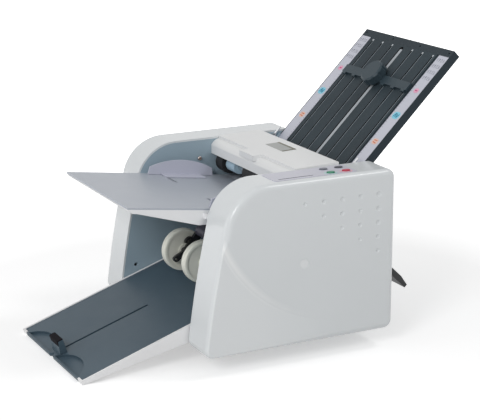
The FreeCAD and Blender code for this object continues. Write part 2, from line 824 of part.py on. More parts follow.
def frame_screws():
    screws = []
    for place in rod_places() + lug_places():
        head = rod(SCREW_HEAD_R, PLATE_OUT, PLATE_OUT + SCREW_HEAD_T, place)
        depth = SCREW_DEPTH if place in rod_places() else TABLE_LUG_SCREW
        shank = rod(SCREW_R, CHANNEL_HALF - depth, PLATE_OUT, place)
        screws += both_sides(fused([head, shank]))
    return Part.makeCompound(screws)


def hinge_and_latch_pins():
    hinge = rod(HINGE_PIN_R, HOOD_HALF - HOOD_WALL, PLATE_OUT, (HINGE_Y, HINGE_Z))
    inner = CHANNEL_HALF - LATCH_PIN_IN - LATCH_FOOT_R
    foot = rod(LATCH_FOOT_R, inner, CHANNEL_HALF - SEAT, (LATCH_PIN_Y, LATCH_PIN_Z))
    shaft = Part.makeCylinder(LATCH_PIN_R, LATCH_PIN_LENGTH)
    shaft.rotate(Vector(0, 0, 0), Vector(1, 0, 0), UPPER_ANGLE - RIGHT_ANGLE)
    shaft.translate(Vector(CHANNEL_HALF - LATCH_PIN_IN, LATCH_PIN_Y, LATCH_PIN_Z))
    latch = fused([foot, shaft])
    return Part.makeCompound(both_sides(hinge) + both_sides(latch))


def rear_panel():
    half = CHANNEL_HALF - GAP
    sheet = block(-half, half, -PANEL_T, 0.0, PANEL_BOTTOM, PANEL_TOP)
    low = PANEL_BOTTOM + PANEL_FLANGE_START
    flange = block(half - PANEL_T, half, -PANEL_FLANGE, 0.0, low, low + PANEL_FLANGE_RISE)
    panel = fused([sheet] + both_sides(flange))
    slots = []
    for side in (-1, 1):
        for n in range(VENT_COUNT):
            x = side * VENT_X + (n - (VENT_COUNT - 1) / 2) * VENT_PITCH
            slot = oval(x, 0.0, VENT_LENGTH, VENT_WIDTH, -OVER, PANEL_T + OVER)
            slot.rotate(Vector(0, 0, 0), Vector(1, 0, 0), RIGHT_ANGLE)
            slot.translate(Vector(0, 0, VENT_Z))
            slots.append(slot)
    return cut(panel, slots)


# Rollers, bushes, gears, pulleys and belts
def roller(centre, left_end, right_end):
    body = rod(ROLLER_R, -ROLLER_HALF, ROLLER_HALF, centre)
    grooves = []
    for n in range(-2, 3):
        x = n * ROLLER_GROOVE_PITCH
        ring = rod(ROLLER_R + OVER, x - ROLLER_GROOVE_WIDTH / 2, x + ROLLER_GROOVE_WIDTH / 2, centre)
        grooves.append(ring.cut(rod(ROLLER_R - ROLLER_GROOVE_DEPTH, -ROLLER_HALF, ROLLER_HALF, centre)))
    return fused([cut(body, grooves), rod(ROLLER_JOURNAL_R, -left_end, right_end, centre)])


def shaft_bushes():
    bushes = []
    for centre in shaft_places():
        barrel = rod(BUSH_R, CHANNEL_HALF, PLATE_OUT, centre)
        flange = rod(BUSH_FLANGE_R, PLATE_OUT, PLATE_OUT + BUSH_FLANGE_T, centre)
        bore = rod(ROLLER_JOURNAL_R + RUN, CHANNEL_HALF - OVER, PLATE_OUT + BUSH_FLANGE_T + OVER, centre)
        bushes += both_sides(fused([barrel, flange]).cut(bore))
    return Part.makeCompound(bushes)


def involute(angle):
    return math.tan(angle) - angle


def gear_wire(module, teeth, centre, turn):
    """Outline of an involute gear with one tooth pointing along the turn angle."""
    pitch_r = module * teeth / 2
    base_r = pitch_r * math.cos(math.radians(PRESSURE_ANGLE))
    tip_r = pitch_r + module
    root_r = pitch_r - module * DEDENDUM_SHARE
    half_pitch = math.pi / (2 * teeth) - GEAR_BACKLASH / (2 * pitch_r)

    def half_angle(r):
        roll = math.acos(min(1.0, base_r / r))
        return half_pitch + involute(math.radians(PRESSURE_ANGLE)) - involute(roll)

    def at(r, angle):
        y, z = around(centre, r, turn + math.degrees(angle))
        return Vector(0, y, z)

    start_r = max(base_r, root_r)
    radii = [start_r + (tip_r - start_r) * n / FLANK_STEPS for n in range(FLANK_STEPS + 1)]
    edges = []
    for tooth in range(teeth):
        middle = 2 * math.pi * tooth / teeth
        following = middle + 2 * math.pi / teeth
        rising = [at(r, middle - half_angle(r)) for r in radii]
        falling = [at(r, middle + half_angle(r)) for r in reversed(radii)]
        foot_in = at(root_r, middle - half_angle(start_r))
        foot_out = at(root_r, middle + half_angle(start_r))
        next_in = at(root_r, following - half_angle(start_r))
        for flank in (rising, falling):
            curve = Part.BSplineCurve()
            curve.interpolate(flank)
            if flank is rising:
                edges.append(Part.LineSegment(foot_in, flank[0]).toShape())
                edges.append(curve.toShape())
                edges.append(Part.Arc(flank[-1], at(tip_r, middle), falling[0]).toShape())
            else:
                edges.append(curve.toShape())
                edges.append(Part.LineSegment(flank[-1], foot_out).toShape())
        edges.append(Part.Arc(foot_out, at(root_r, (middle + following) / 2), next_in).toShape())
    return Part.Wire(edges)


def mesh_turn(turn, teeth, other_teeth, direction):
    """Turn angle at which another gear, in this direction, meshes with the first."""
    half_turn = 2 * RIGHT_ANGLE
    return direction + half_turn - (turn - direction) * teeth / other_teeth + half_turn / other_teeth


def roller_gear(centre, turn):
    wheel = prism(gear_wire(GEAR_MODULE, GEAR_TEETH, centre, turn), GEAR_IN_X, GEAR_OUT_X)
    return wheel.cut(rod(ROLLER_JOURNAL_R + SEAT, GEAR_IN_X - OVER, GEAR_OUT_X + OVER, centre))


def satellite_gear(centre, direction):
    return roller_gear(centre, mesh_turn(0.0, GEAR_TEETH, GEAR_TEETH, direction))


def pulley(radius, centre, x0, x1, bore):
    drum = rod(radius, x0, x1, centre)
    flange = radius + PULLEY_FLANGE
    rims = [rod(flange, x0, x0 + PULLEY_FLANGE_T, centre), rod(flange, x1 - PULLEY_FLANGE_T, x1, centre)]
    whole = fused([drum] + rims)
    return whole.cut(rod(bore, x0 - OVER, x1 + OVER, centre)) if bore else whole


def drive_gear_and_pulley():
    """The driven gear of the second roller, moulded in one with the main pulley."""
    bore = ROLLER_JOURNAL_R + SEAT
    wheel = prism(gear_wire(GEAR_MODULE, GEAR_TEETH, ROLLER_2, 0.0), GEAR_IN_X, GEAR_OUT_X)
    hub = rod(GEAR_HUB_R, GEAR_IN_X, PULLEY_OUT_X, ROLLER_2)
    whole = fused([wheel, hub, pulley(MAIN_PULLEY_R, ROLLER_2, PULLEY_IN_X, PULLEY_OUT_X, 0.0)])
    return whole.cut(rod(bore, GEAR_IN_X - OVER, PULLEY_OUT_X + OVER, ROLLER_2))


def belt_wire(first, first_r, second, second_r):
    """Outline of a belt run round two circles."""
    dy, dz = second[0] - first[0], second[1] - first[1]
    span = math.hypot(dy, dz)
    along = math.degrees(math.atan2(dz, dy))
    lean = math.degrees(math.acos((first_r - second_r) / span))
    a = around(first, first_r, along + lean)
    b = around(second, second_r, along + lean)
    c = around(second, second_r, along - lean)
    d = around(first, first_r, along - lean)
    far = around(second, second_r, along)
    near = around(first, -first_r, along)
    return side_wire(a, [b, (far, c), d, (near, a)])


def belt(first, first_r, second, second_r, x0, x1):
    outer = prism(belt_wire(first, first_r + BELT_T, second, second_r + BELT_T), x0, x1)
    inner = prism(belt_wire(first, first_r, second, second_r), x0 - OVER, x1 + OVER)
    return outer.cut(inner)


def main_belt():
    edge = PULLEY_FLANGE_T + GAP
    return belt(MOTOR, MOTOR_PULLEY_R + BELT_GAP, ROLLER_2, MAIN_PULLEY_R + BELT_GAP,
                PULLEY_IN_X + edge, PULLEY_OUT_X - edge)


def feed_belt():
    edge = PULLEY_FLANGE_T + GAP
    r = FEED_PULLEY_R + BELT_GAP
    return belt(FEED, r, ROLLER_1, r, -FEED_PULLEY_OUT_X + edge, -FEED_PULLEY_IN_X - edge)


def small_pulley(centre):
    return pulley(FEED_PULLEY_R, centre, -FEED_PULLEY_OUT_X, -FEED_PULLEY_IN_X, ROLLER_JOURNAL_R + SEAT)


def drive_motor():
    x1 = CHANNEL_HALF - SEAT
    x0 = x1 - MOTOR_LENGTH
    can = rod(MOTOR_R - MOTOR_CAP_STEP, x0, x1, MOTOR)
    caps = [rod(MOTOR_R, x0, x0 + MOTOR_CAP_LENGTH, MOTOR), rod(MOTOR_R, x1 - MOTOR_CAP_LENGTH, x1, MOTOR)]
    boss = rod(MOTOR_BOSS_R, x1, PLATE_OUT + SHAFT_END, MOTOR)
    bore = rod(MOTOR_SHAFT_R + RUN, x1 - MOTOR_SHAFT_BURY, PLATE_OUT + OVER + SHAFT_END, MOTOR)
    return fused([can] + caps + [boss]).cut(bore)


def motor_pulley():
    wheel = pulley(MOTOR_PULLEY_R, MOTOR, PULLEY_IN_X, PULLEY_OUT_X, 0.0)
    shaft = rod(MOTOR_SHAFT_R, CHANNEL_HALF - MOTOR_SHAFT_BURY + OVER, PULLEY_OUT_X + SHAFT_END, MOTOR)
    return fused([wheel, shaft])


# Feed roller
def feed_shaft():
    x1 = PLATE_OUT + BUSH_FLANGE_T + SHAFT_END
    return rod(ROLLER_JOURNAL_R, -FEED_PULLEY_OUT_X - SHAFT_END, x1, FEED)


def tyre(x0, x1):
    ring = rod(FEED_TYRE_R, x0, x1, FEED)
    return ring.cut(rod(ROLLER_JOURNAL_R + SEAT, x0 - OVER, x1 + OVER, FEED))


def feed_tyres():
    centre = tyre(-FEED_CENTRE_TYRE_HALF, FEED_CENTRE_TYRE_HALF)
    return Part.makeCompound([centre] + both_sides(tyre(FEED_SIDE_TYRE_IN, FEED_SIDE_TYRE_OUT)))


def feed_hubs():
    hub = rod(FEED_HUB_R, FEED_HUB_IN, FEED_HUB_OUT, FEED)
    flat = FEED_HUB_R - FEED_HUB_FLAT
    middle = (FEED_HUB_IN + FEED_HUB_OUT) / 2
    shave = block(middle, FEED_HUB_OUT + OVER, FEED_Y - FEED_HUB_R, FEED_Y + FEED_HUB_R,
                  FEED_Z + flat, FEED_Z + FEED_HUB_R + OVER)
    bore = rod(ROLLER_JOURNAL_R + SEAT, FEED_HUB_IN - OVER, FEED_HUB_OUT + OVER, FEED)
    return Part.makeCompound(both_sides(cut(hub, [shave, bore])))


# Feed table
def table_point(u, w):
    return laid_point(u, w, TABLE_ANGLE, TABLE_FRONT_Y, TABLE_FRONT_Z)


def table_belly(u):
    """Height of the shell's underside behind its deepest place."""
    deep = TABLE_LENGTH * TABLE_BELLY_SHARE
    return -TABLE_BELLY + (TABLE_BELLY - TABLE_TAIL) * (u - deep) / (TABLE_LENGTH - deep)


def feed_table_shell():
    nose_u = TABLE_LENGTH * TABLE_NOSE_SHARE
    nose_w = (TABLE_NOSE + TABLE_BED_T) / 2
    wire = side_wire((0.0, -TABLE_BED_T), [
        ((nose_u * TABLE_NOSE_BEND_SHARE, -nose_w - TABLE_BED_T / 2), (nose_u, -TABLE_NOSE)),
        (TABLE_LENGTH * TABLE_BELLY_SHARE, -TABLE_BELLY),
        (TABLE_LENGTH, -TABLE_TAIL),
        (TABLE_LENGTH, -TABLE_BED_T),
    ])
    shell = prism(wire, -TABLE_HALF, TABLE_HALF)
    hollow = prism(wire.makeOffset2D(-TABLE_WALL), -TABLE_HALF + TABLE_WALL, TABLE_HALF - TABLE_WALL)
    raised = hollow.copy()
    raised.translate(Vector(0, 0, TABLE_WALL + OVER))
    shell = cut(shell, [hollow.fuse(raised)])
    low = table_belly(PINION_U) + TABLE_WALL / 2
    seat = post(PINION_SEAT_R, 0.0, PINION_U, low, -PINION_TOP - PINION_T - GAP)
    pin = post(PINION_PIN_R, 0.0, PINION_U, low, -TABLE_BED_T - GAP)
    lugs = []
    for share in TABLE_LUG_SHARES:
        u = TABLE_LENGTH * share
        top = -TABLE_BED_T - TABLE_LUG_DROP
        reach = TABLE_LUG_LENGTH / 2
        lugs += both_sides(block(TABLE_HALF - TABLE_WALL / 2, CHANNEL_HALF - SEAT, u - reach,
                                 u + reach, top - TABLE_LUG_T, top))
    whole = on_table(fused([shell, seat, pin] + lugs))
    start = CHANNEL_HALF - TABLE_LUG_SCREW - OVER
    holes = [rod(SCREW_R + SEAT, start, CHANNEL_HALF, place) for place in lug_places()]
    return cut(whole, [h for hole in holes for h in both_sides(hole)])


def guide_keel_x():
    """Inner end of the keel under a paper guide, at rest."""
    return GUIDE_INNER_X - GUIDE_FOOT + GAP * 2


def feed_table_bed():
    sheet = block(-TABLE_HALF, TABLE_HALF, 0.0, TABLE_LENGTH, -TABLE_BED_T, 0.0)
    x0 = guide_keel_x() - GUIDE_TRAVEL_IN - OVER
    x1 = guide_keel_x() + GUIDE_KEEL_LENGTH + GUIDE_TRAVEL_OUT + OVER
    half = GUIDE_KEEL / 2 + GUIDE_SLOT_SPARE
    slot = block(x0, x1, PINION_U - half, PINION_U + half, -TABLE_BED_T - OVER, OVER)
    sheet = on_table(cut(sheet, both_sides(slot)))
    t = TABLE_BED_T
    top = table_point(TABLE_LENGTH, 0.0)
    under = table_point(TABLE_LENGTH, -t)
    tail = side_prism([top, (BED_SAG_Y, BED_SAG_Z), (BED_LIP_Y, BED_LIP_Z), (BED_LIP_Y, BED_LIP_Z - t),
                       (BED_SAG_Y, BED_SAG_Z - t), under], -TABLE_HALF, TABLE_HALF)
    pivot = (HOLDER_PIVOT_Y, HOLDER_PIVOT_Z)
    ear = block(BED_WINDOW_HALF, BED_WINDOW_HALF + BED_EAR_T, HOLDER_PIVOT_Y - BED_EAR_LENGTH / 2,
                HOLDER_PIVOT_Y + BED_EAR_LENGTH / 2, BED_SAG_Z - BED_EAR_DROP, BED_SAG_Z - t / 2)
    bed = fused([sheet, tail] + both_sides(ear))
    window = block(-BED_WINDOW_HALF, BED_WINDOW_HALF, FEED_Y - HOLDER_FRONT - BED_WINDOW_SPARE,
                   HOLDER_PIVOT_Y + HOLDER_BOSS_R + BED_WINDOW_SPARE, BED_SAG_Z - BED_EAR_DROP, FEED_Z)
    reach = BED_WINDOW_HALF + BED_EAR_T + OVER
    return cut(bed, [window, rod(HOLDER_PIN_R + RUN, -reach, reach, pivot)])


# Paper guides
def rack(x0, x1):
    """Toothed bar behind the pinion; its teeth point to the front and a gap lies at x = 0."""
    m = PINION_MODULE
    pitch = math.pi * m
    lean = math.tan(math.radians(PRESSURE_ANGLE))
    half = pitch / 4 - GEAR_BACKLASH / 2
    line = PINION_U + PINION_R
    root = line + m * DEDENDUM_SHARE
    first = math.ceil(x0 / pitch - 0.5)
    last = math.floor((GUIDE_TRAVEL_IN + RACK_SPARE) / pitch - 0.5)
    low = -PINION_TOP - PINION_T
    points = [Vector(x0, root + RACK_BACK, low), Vector(x0, root, low)]
    for n in range(first, last + 1):
        middle = (n + 0.5) * pitch
        if middle - half - lean * m * DEDENDUM_SHARE <= x0:
            continue
        for side, u in ((-1, root), (-1, line - m), (1, line - m), (1, root)):
            spread = half + lean * (u - line)
            points.append(Vector(middle + side * spread, u, low))
    points += [Vector(x1, root, low), Vector(x1, root + RACK_BACK, low)]
    return Part.Face(Part.makePolygon(points + [points[0]])).extrude(Vector(0, 0, PINION_T))


def guide_body():
    """Wall, foot and keel of the right-hand guide."""
    crest = GUIDE_START + (GUIDE_END - GUIDE_START) * GUIDE_CREST_SHARE
    wire = side_wire((GUIDE_START, GAP), [
        (GUIDE_START + GUIDE_T, GUIDE_END_HEIGHT),
        ((crest, GUIDE_HEIGHT), (GUIDE_END - GUIDE_T, GUIDE_END_HEIGHT)),
        (GUIDE_END, GAP),
    ])
    wall = prism(wire, GUIDE_INNER_X, GUIDE_INNER_X + GUIDE_T)
    foot = block(GUIDE_INNER_X - GUIDE_FOOT, GUIDE_INNER_X + GUIDE_T / 2, GUIDE_START + GUIDE_FOOT,
                 GUIDE_END - GUIDE_FOOT, GAP, GAP + GUIDE_FOOT_T)
    x0 = guide_keel_x()
    keel = block(x0, x0 + GUIDE_KEEL_LENGTH, PINION_U - GUIDE_KEEL / 2, PINION_U + GUIDE_KEEL / 2,
                 -PINION_TOP - PINION_T, GAP + GUIDE_FOOT_T / 2)
    return fused([wall, foot, keel])


def guide_rack():
    x1 = guide_keel_x() + GUIDE_KEEL_LENGTH
    line = PINION_U + PINION_R + PINION_MODULE * DEDENDUM_SHARE
    heel = block(guide_keel_x(), x1, PINION_U - GUIDE_KEEL / 2, line + RACK_BACK / 2,
                 -PINION_TOP - PINION_T, -PINION_TOP)
    return fused([heel, rack(-GUIDE_TRAVEL_OUT - RACK_SPARE, x1)])


def right_paper_guide():
    return on_table(fused([guide_body(), guide_rack()]))


def left_paper_guide():
    """Mirror of the right-hand guide, with its rack on the other side of the pinion."""
    turned = guide_rack()
    turned.rotate(Vector(0, PINION_U, 0), Vector(0, 0, 1), 2 * RIGHT_ANGLE)
    return on_table(fused([mirrored(guide_body()), turned]))


def guide_pinion():
    wheel = prism(gear_wire(PINION_MODULE, PINION_TEETH, (PINION_U, 0.0), 0.0),
                  -PINION_TOP - PINION_T, -PINION_TOP)
    wheel.rotate(Vector(0, 0, 0), Vector(0, 1, 0), -RIGHT_ANGLE)
    return on_table(wheel.cut(post(PINION_PIN_R + RUN, 0.0, PINION_U, -TABLE_BELLY, 0.0)))


# Separator
def separator_holder():
    top = FEED_Z - FEED_TYRE_R - GAP - PAD_T
    front = FEED_Y - HOLDER_FRONT
    flat = FEED_Y + PAD_LENGTH / 2 + PAD_T
    body = side_prism([(front, top), (flat, top), (HOLDER_PIVOT_Y, HOLDER_PIVOT_Z + HOLDER_BOSS_R),
                       (HOLDER_PIVOT_Y, HOLDER_PIVOT_Z - HOLDER_BOSS_R), (flat, top - HOLDER_T),
                       (front, top - HOLDER_T)], -HOLDER_HALF, HOLDER_HALF)
    pivot = (HOLDER_PIVOT_Y, HOLDER_PIVOT_Z)
    reach = BED_WINDOW_HALF + BED_EAR_T
    return fused([body, rod(HOLDER_BOSS_R, -HOLDER_HALF, HOLDER_HALF, pivot),
                  rod(HOLDER_PIN_R, -reach, reach, pivot)])


def separator_pad():
    top = FEED_Z - FEED_TYRE_R - GAP
    return block(-PAD_HALF, PAD_HALF, FEED_Y - PAD_LENGTH / 2, FEED_Y + PAD_LENGTH / 2, top - PAD_T, top)


# Roller cover
def on_panel(shape):
    slope = math.degrees(math.atan2(HOOD_REAR_Z - HOOD_STEP_Z, HOOD_REAR_Y - HOOD_STEP_Y))
    return laid(shape, slope, HOOD_REAR_Y, HOOD_REAR_Z)


def window_block(spare, low, high):
    rear = -WINDOW_FROM_REAR
    return on_panel(block(WINDOW_X - WINDOW_HALF - spare, WINDOW_X + WINDOW_HALF + spare,
                          rear - WINDOW_LENGTH - spare, rear + spare, low, high))


def roller_cover():
    wire = side_wire((HOOD_REAR_Y, HOOD_REAR_Z), [
        (HOOD_STEP_Y, HOOD_STEP_Z),
        (HOOD_STEP_Y, HOOD_STEP_Z - HOOD_STEP),
        ((HOOD_BROW_Y, HOOD_BROW_Z), (HOOD_NOSE_Y, HOOD_NOSE_TOP)),
        (HOOD_NOSE_Y, HOOD_NOSE_BOTTOM),
        (HOOD_NOSE_Y + HOOD_SKIRT_NOSE, HOOD_NOSE_BOTTOM),
        (HOOD_SKIRT_Y, HOOD_SKIRT_Z),
        (HOOD_REAR_Y, HOOD_REAR_Z - HOOD_SKIRT_REAR),
    ])
    inner = HOOD_HALF - HOOD_WALL
    hollow = prism(wire.makeOffset2D(-HOOD_WALL), -inner, inner)
    lowered = hollow.copy()
    lowered.translate(Vector(0, 0, -HOOD_WALL - OVER))
    front = HOOD_NOSE_Y - GRIP_REACH
    fall = (HOOD_REAR_Z - HOOD_STEP_Z) / (HOOD_REAR_Y - HOOD_STEP_Y)
    rear = HOOD_STEP_Y + GRIP_BACK
    low = HOOD_STEP_Z - GRIP_DROP
    grip = side_prism([(front, HOOD_STEP_Z - (HOOD_STEP_Y - front) * fall),
                       (rear, HOOD_STEP_Z + GRIP_BACK * fall), (rear, low), (front, low)],
                      -GRIP_HALF, GRIP_HALF)
    shell = fused([prism(wire, -HOOD_HALF, HOOD_HALF).cut(hollow.fuse(lowered)), grip])
    bore = rod(HINGE_PIN_R + RUN, -HOOD_HALF - OVER, HOOD_HALF + OVER, (HINGE_Y, HINGE_Z))
    return cut(shell, [bore, window_block(SEAT, -WINDOW_T + WINDOW_PROUD - SEAT, OVER)])


def cover_window():
    return window_block(0.0, -WINDOW_T + WINDOW_PROUD, WINDOW_PROUD)


# Fold plates
def slot_tools(s0, s1, low, high):
    tools = []
    for n in range(-SLOT_SIDE_COUNT, SLOT_SIDE_COUNT + 1):
        width = SLOT_WIDTH if n else SLOT_CENTRE_WIDTH
        tools.append(oval(n * SLOT_PITCH, (s0 + s1) / 2, s1 - s0, width, low, high))
    return tools


def upper_plate_frame():
    inner = FOLD_HALF - FOLD_RAIL
    lip = FOLD_HALF - FOLD_LIP
    back = -FOLD_FRONT_T - FOLD_CHANNEL
    ledge = -FOLD_FRONT_T - SEAT
    bar = -FOLD_TOP_BAR
    sheet = block(-FOLD_HALF, FOLD_HALF, -UPPER_LENGTH, 0.0, -UPPER_T, back)
    side = [block(inner, lip, -UPPER_LENGTH, 0.0, ledge - FOLD_LEDGE_T, -FOLD_LIP_DROP),
            block(inner - FOLD_LEDGE, inner, -UPPER_LENGTH, bar, ledge - FOLD_LEDGE_T, ledge),
            block(CHANNEL_PAPER_HALF, FOLD_HALF, -UPPER_LENGTH, 0.0, -UPPER_T, -FOLD_LIP_DROP),
            block(lip, FOLD_HALF, -UPPER_LENGTH, 0.0, -UPPER_T, 0.0)]
    sides = [s for piece in side for s in both_sides(piece)]
    top = block(-FOLD_HALF, FOLD_HALF, bar, 0.0, -UPPER_T, 0.0)
    frame = fused([sheet, top] + sides)
    tools = slot_tools(-UPPER_LENGTH + SLOT_INNER_END, -SLOT_END, -UPPER_T - OVER, back + OVER)
    for x in (-PEG_X, -PEG_INNER_X, PEG_INNER_X, PEG_X):
        tools.append(post(PEG_HOLE_R, x, -PEG_FROM_TOP, -PEG_DEPTH, OVER))
    return on_upper(cut(frame, tools))


def upper_plate_grid():
    half = FOLD_HALF - FOLD_RAIL - SEAT
    sheet = block(-half, half, -UPPER_LENGTH, -FOLD_TOP_BAR - SEAT, -FOLD_FRONT_T, 0.0)
    tools = slot_tools(-UPPER_LENGTH + SLOT_INNER_END, -SLOT_END, -FOLD_FRONT_T - OVER, OVER)
    return on_upper(cut(sheet, tools))


def upper_plate_scales():
    x1 = FOLD_HALF - FOLD_LIP - GAP
    strip = block(x1 - SCALE_WIDTH, x1, -UPPER_LENGTH, -FOLD_TOP_BAR - SEAT,
                  -FOLD_LIP_DROP, SCALE_T - FOLD_LIP_DROP)
    return on_upper(Part.makeCompound(both_sides(strip)))


def stop_bar(at, boss_r, depth):
    """Stop bar with a comb of teeth, fingers through the slots and a boss for its knob."""
    edge = -at - STOP_BELOW_KNOB
    top = GAP + STOP_T
    pieces = [block(-STOP_HALF, STOP_HALF, edge + STOP_TOOTH, edge + STOP_WIDTH, GAP, top),
              post(boss_r, 0.0, -at, GAP, top)]
    for n in range(-SLOT_SIDE_COUNT, SLOT_SIDE_COUNT + 1):
        x = n * SLOT_PITCH
        pieces.append(block(x - STOP_TOOTH_WIDTH / 2, x + STOP_TOOTH_WIDTH / 2, edge,
                            edge + STOP_WIDTH, GAP, top))
        if n:
            pieces.append(block(x - STOP_FINGER / 2, x + STOP_FINGER / 2, edge,
                                edge + STOP_FINGER_LENGTH, GAP - depth, top))
    return fused(pieces).cut(post(KNOB_STEM_R + RUN, 0.0, -at, -depth, top + OVER))


def stop_knob(at, radius, height):
    low = GAP + STOP_T + KNOB_LIFT
    knob = Part.makeCylinder(radius, height, Vector(0, -at, low))
    top = [e for e in knob.Edges if e.BoundBox.ZMin > low + height / 2 and e.BoundBox.ZLength < SEAT]
    knob = knob.makeChamfer(KNOB_BEVEL, top)
    tools = []
    reach = radius + KNOB_SCALLOP_R - KNOB_SCALLOP_DEPTH
    for n in range(KNOB_SCALLOPS):
        x, y = around((0.0, -at), reach, n * 4 * RIGHT_ANGLE / KNOB_SCALLOPS)
        tools.append(post(KNOB_SCALLOP_R, x, y, low - OVER, low + height + OVER))
    stem = post(KNOB_STEM_R, 0.0, -at, -LOWER_FRONT_T / 2, low + height / 2)
    return fused([cut(knob, tools), stem])


def upper_stop_bar():
    return on_upper(stop_bar(UPPER_STOP_AT, STOP_BOSS_R, FOLD_FRONT_T + FOLD_CHANNEL))


def upper_stop_knob():
    return on_upper(stop_knob(UPPER_STOP_AT, KNOB_R, KNOB_HEIGHT))


def lower_plate_frame():
    body = side_prism([(-LOWER_LENGTH, -LOWER_T), (-LOWER_LENGTH, 0.0), (-LOWER_TAPER_LENGTH, 0.0),
                       (0.0, -LOWER_TIP_TAPER), (0.0, -LOWER_T)], -FOLD_HALF, FOLD_HALF)
    channel = block(-CHANNEL_PAPER_HALF, CHANNEL_PAPER_HALF, -LOWER_LENGTH - OVER, -LOWER_CHANNEL_END,
                    -LOWER_FRONT_T - LOWER_CHANNEL, -LOWER_FRONT_T)
    slots = slot_tools(-LOWER_SLOT_IN, -LOWER_SLOT_OUT, -LOWER_FRONT_T - OVER, OVER)
    return on_lower(cut(body, [channel] + slots))


def lower_stop_bar():
    return on_lower(stop_bar(LOWER_STOP_AT, LOWER_BOSS_R, LOWER_FRONT_T + LOWER_CHANNEL))


def lower_stop_knob():
    return on_lower(stop_knob(LOWER_STOP_AT, LOWER_KNOB_R, LOWER_KNOB_HEIGHT))


# Exit hood, chute, stacker arm and discs
def exit_hood():
    half = CHANNEL_HALF - SEAT
    sheet = side_prism([(EXIT_HOOD_REAR_Y, EXIT_HOOD_REAR_Z), (TONGUE_ROOT_Y, TONGUE_ROOT_Z),
                        (TONGUE_ROOT_Y, TONGUE_ROOT_Z - EXIT_HOOD_T),
                        (EXIT_HOOD_REAR_Y, EXIT_HOOD_REAR_Z - EXIT_HOOD_T)], -half, half)
    outline = belt_wire((TONGUE_TIP_Y, TONGUE_TIP_Z), TONGUE_R,
                        (TONGUE_ROOT_Y, TONGUE_ROOT_Z), TONGUE_ROOT_R)
    tongue = prism(outline, -TONGUE_HALF, TONGUE_HALF)
    bore = rod(ARM_PIN_R + RUN, -TONGUE_HALF - OVER, TONGUE_HALF + OVER, ARM_PIVOT)
    return fused([sheet, tongue]).cut(bore)


def exit_chute():
    """Curved slide from under the rollers down to the tray."""
    upper = [Vector(0, p[0], p[1]) for p in (CHUTE_TOP, CHUTE_MIDDLE, CHUTE_END)]
    bend = Part.Arc(upper[0], upper[1], upper[2]).toShape()
    centre = bend.Curve.Center
    spread = (bend.Curve.Radius + CHUTE_T) / bend.Curve.Radius
    lower = [centre + (p - centre) * spread for p in upper]
    edges = [bend, Part.LineSegment(upper[2], lower[2]).toShape(),
             Part.Arc(lower[2], lower[1], lower[0]).toShape(),
             Part.LineSegment(lower[0], upper[0]).toShape()]
    return prism(Part.Wire(edges), -CHANNEL_HALF + SEAT, CHANNEL_HALF - SEAT)


def stacker_arm():
    x1 = ARM_INNER_X + ARM_T
    eye = (ARM_EYE_Y, ARM_EYE_Z)
    hook = (ARM_HOOK_Y, ARM_HOOK_Z)
    link = prism(belt_wire(ARM_PIVOT, ARM_BOSS_R, DISC, ARM_BOSS_R - ARM_PIN_R / 2), ARM_INNER_X, x1)
    leg = prism(belt_wire(eye, ARM_EYE_R, DISC, ARM_LEG_R), ARM_INNER_X, x1)
    ring = rod(ARM_HOOK_R, ARM_INNER_X, x1, hook)
    hollow = rod(ARM_HOOK_R - ARM_HOOK_T, ARM_INNER_X - OVER, x1 + OVER, hook)
    mouth = block(ARM_INNER_X - OVER, x1 + OVER, ARM_HOOK_Y - 2 * ARM_HOOK_R, ARM_HOOK_Y,
                  ARM_HOOK_Z - ARM_HOOK_R, ARM_HOOK_Z)
    lever = fused([link, leg, ring.cut(hollow).cut(mouth)])
    lever = lever.cut(rod(ARM_EYE_BORE_R, ARM_INNER_X - OVER, x1 + OVER, eye))
    levers = both_sides(lever)
    disc_in = DISC_X - DISC_T / 2
    end = DISC_X + DISC_T / 2 + GAP
    collar = rod(AXLE_CLIP_R, x1 - ARM_T / 2, disc_in - GAP, DISC)
    clip = rod(AXLE_CLIP_R, end, end + AXLE_CLIP_T, DISC)
    axle = rod(AXLE_R, -end - AXLE_CLIP_T, end + AXLE_CLIP_T, DISC)
    pin = rod(ARM_PIN_R, -x1, x1, ARM_PIVOT)
    return fused(levers + both_sides(collar) + both_sides(clip) + [axle, pin])


def stacker_discs():
    x0 = DISC_X - DISC_T / 2
    x1 = DISC_X + DISC_T / 2
    disc = rod(DISC_R, x0, x1, DISC)
    disc = disc.makeFillet(DISC_EDGE_R, outer_edges(disc, x0) + outer_edges(disc, x1))
    outer_dish = rod(DISC_DISH_R, x1 - DISC_DISH, x1 + OVER, DISC)
    inner_dish = rod(DISC_DISH_R, x0 - OVER, x0 + DISC_DISH, DISC)
    dishes = outer_dish.fuse(inner_dish)
    disc = disc.cut(dishes.cut(rod(DISC_HUB_R, x0 - OVER, x1 + OVER, DISC)))
    return Part.makeCompound(both_sides(disc.cut(rod(AXLE_R + RUN, x0 - OVER, x1 + OVER, DISC))))


# Exit tray
def tray_depth(u):
    return -TRAY_FRONT_DEPTH - (TRAY_REAR_DEPTH - TRAY_FRONT_DEPTH) * u / TRAY_LENGTH


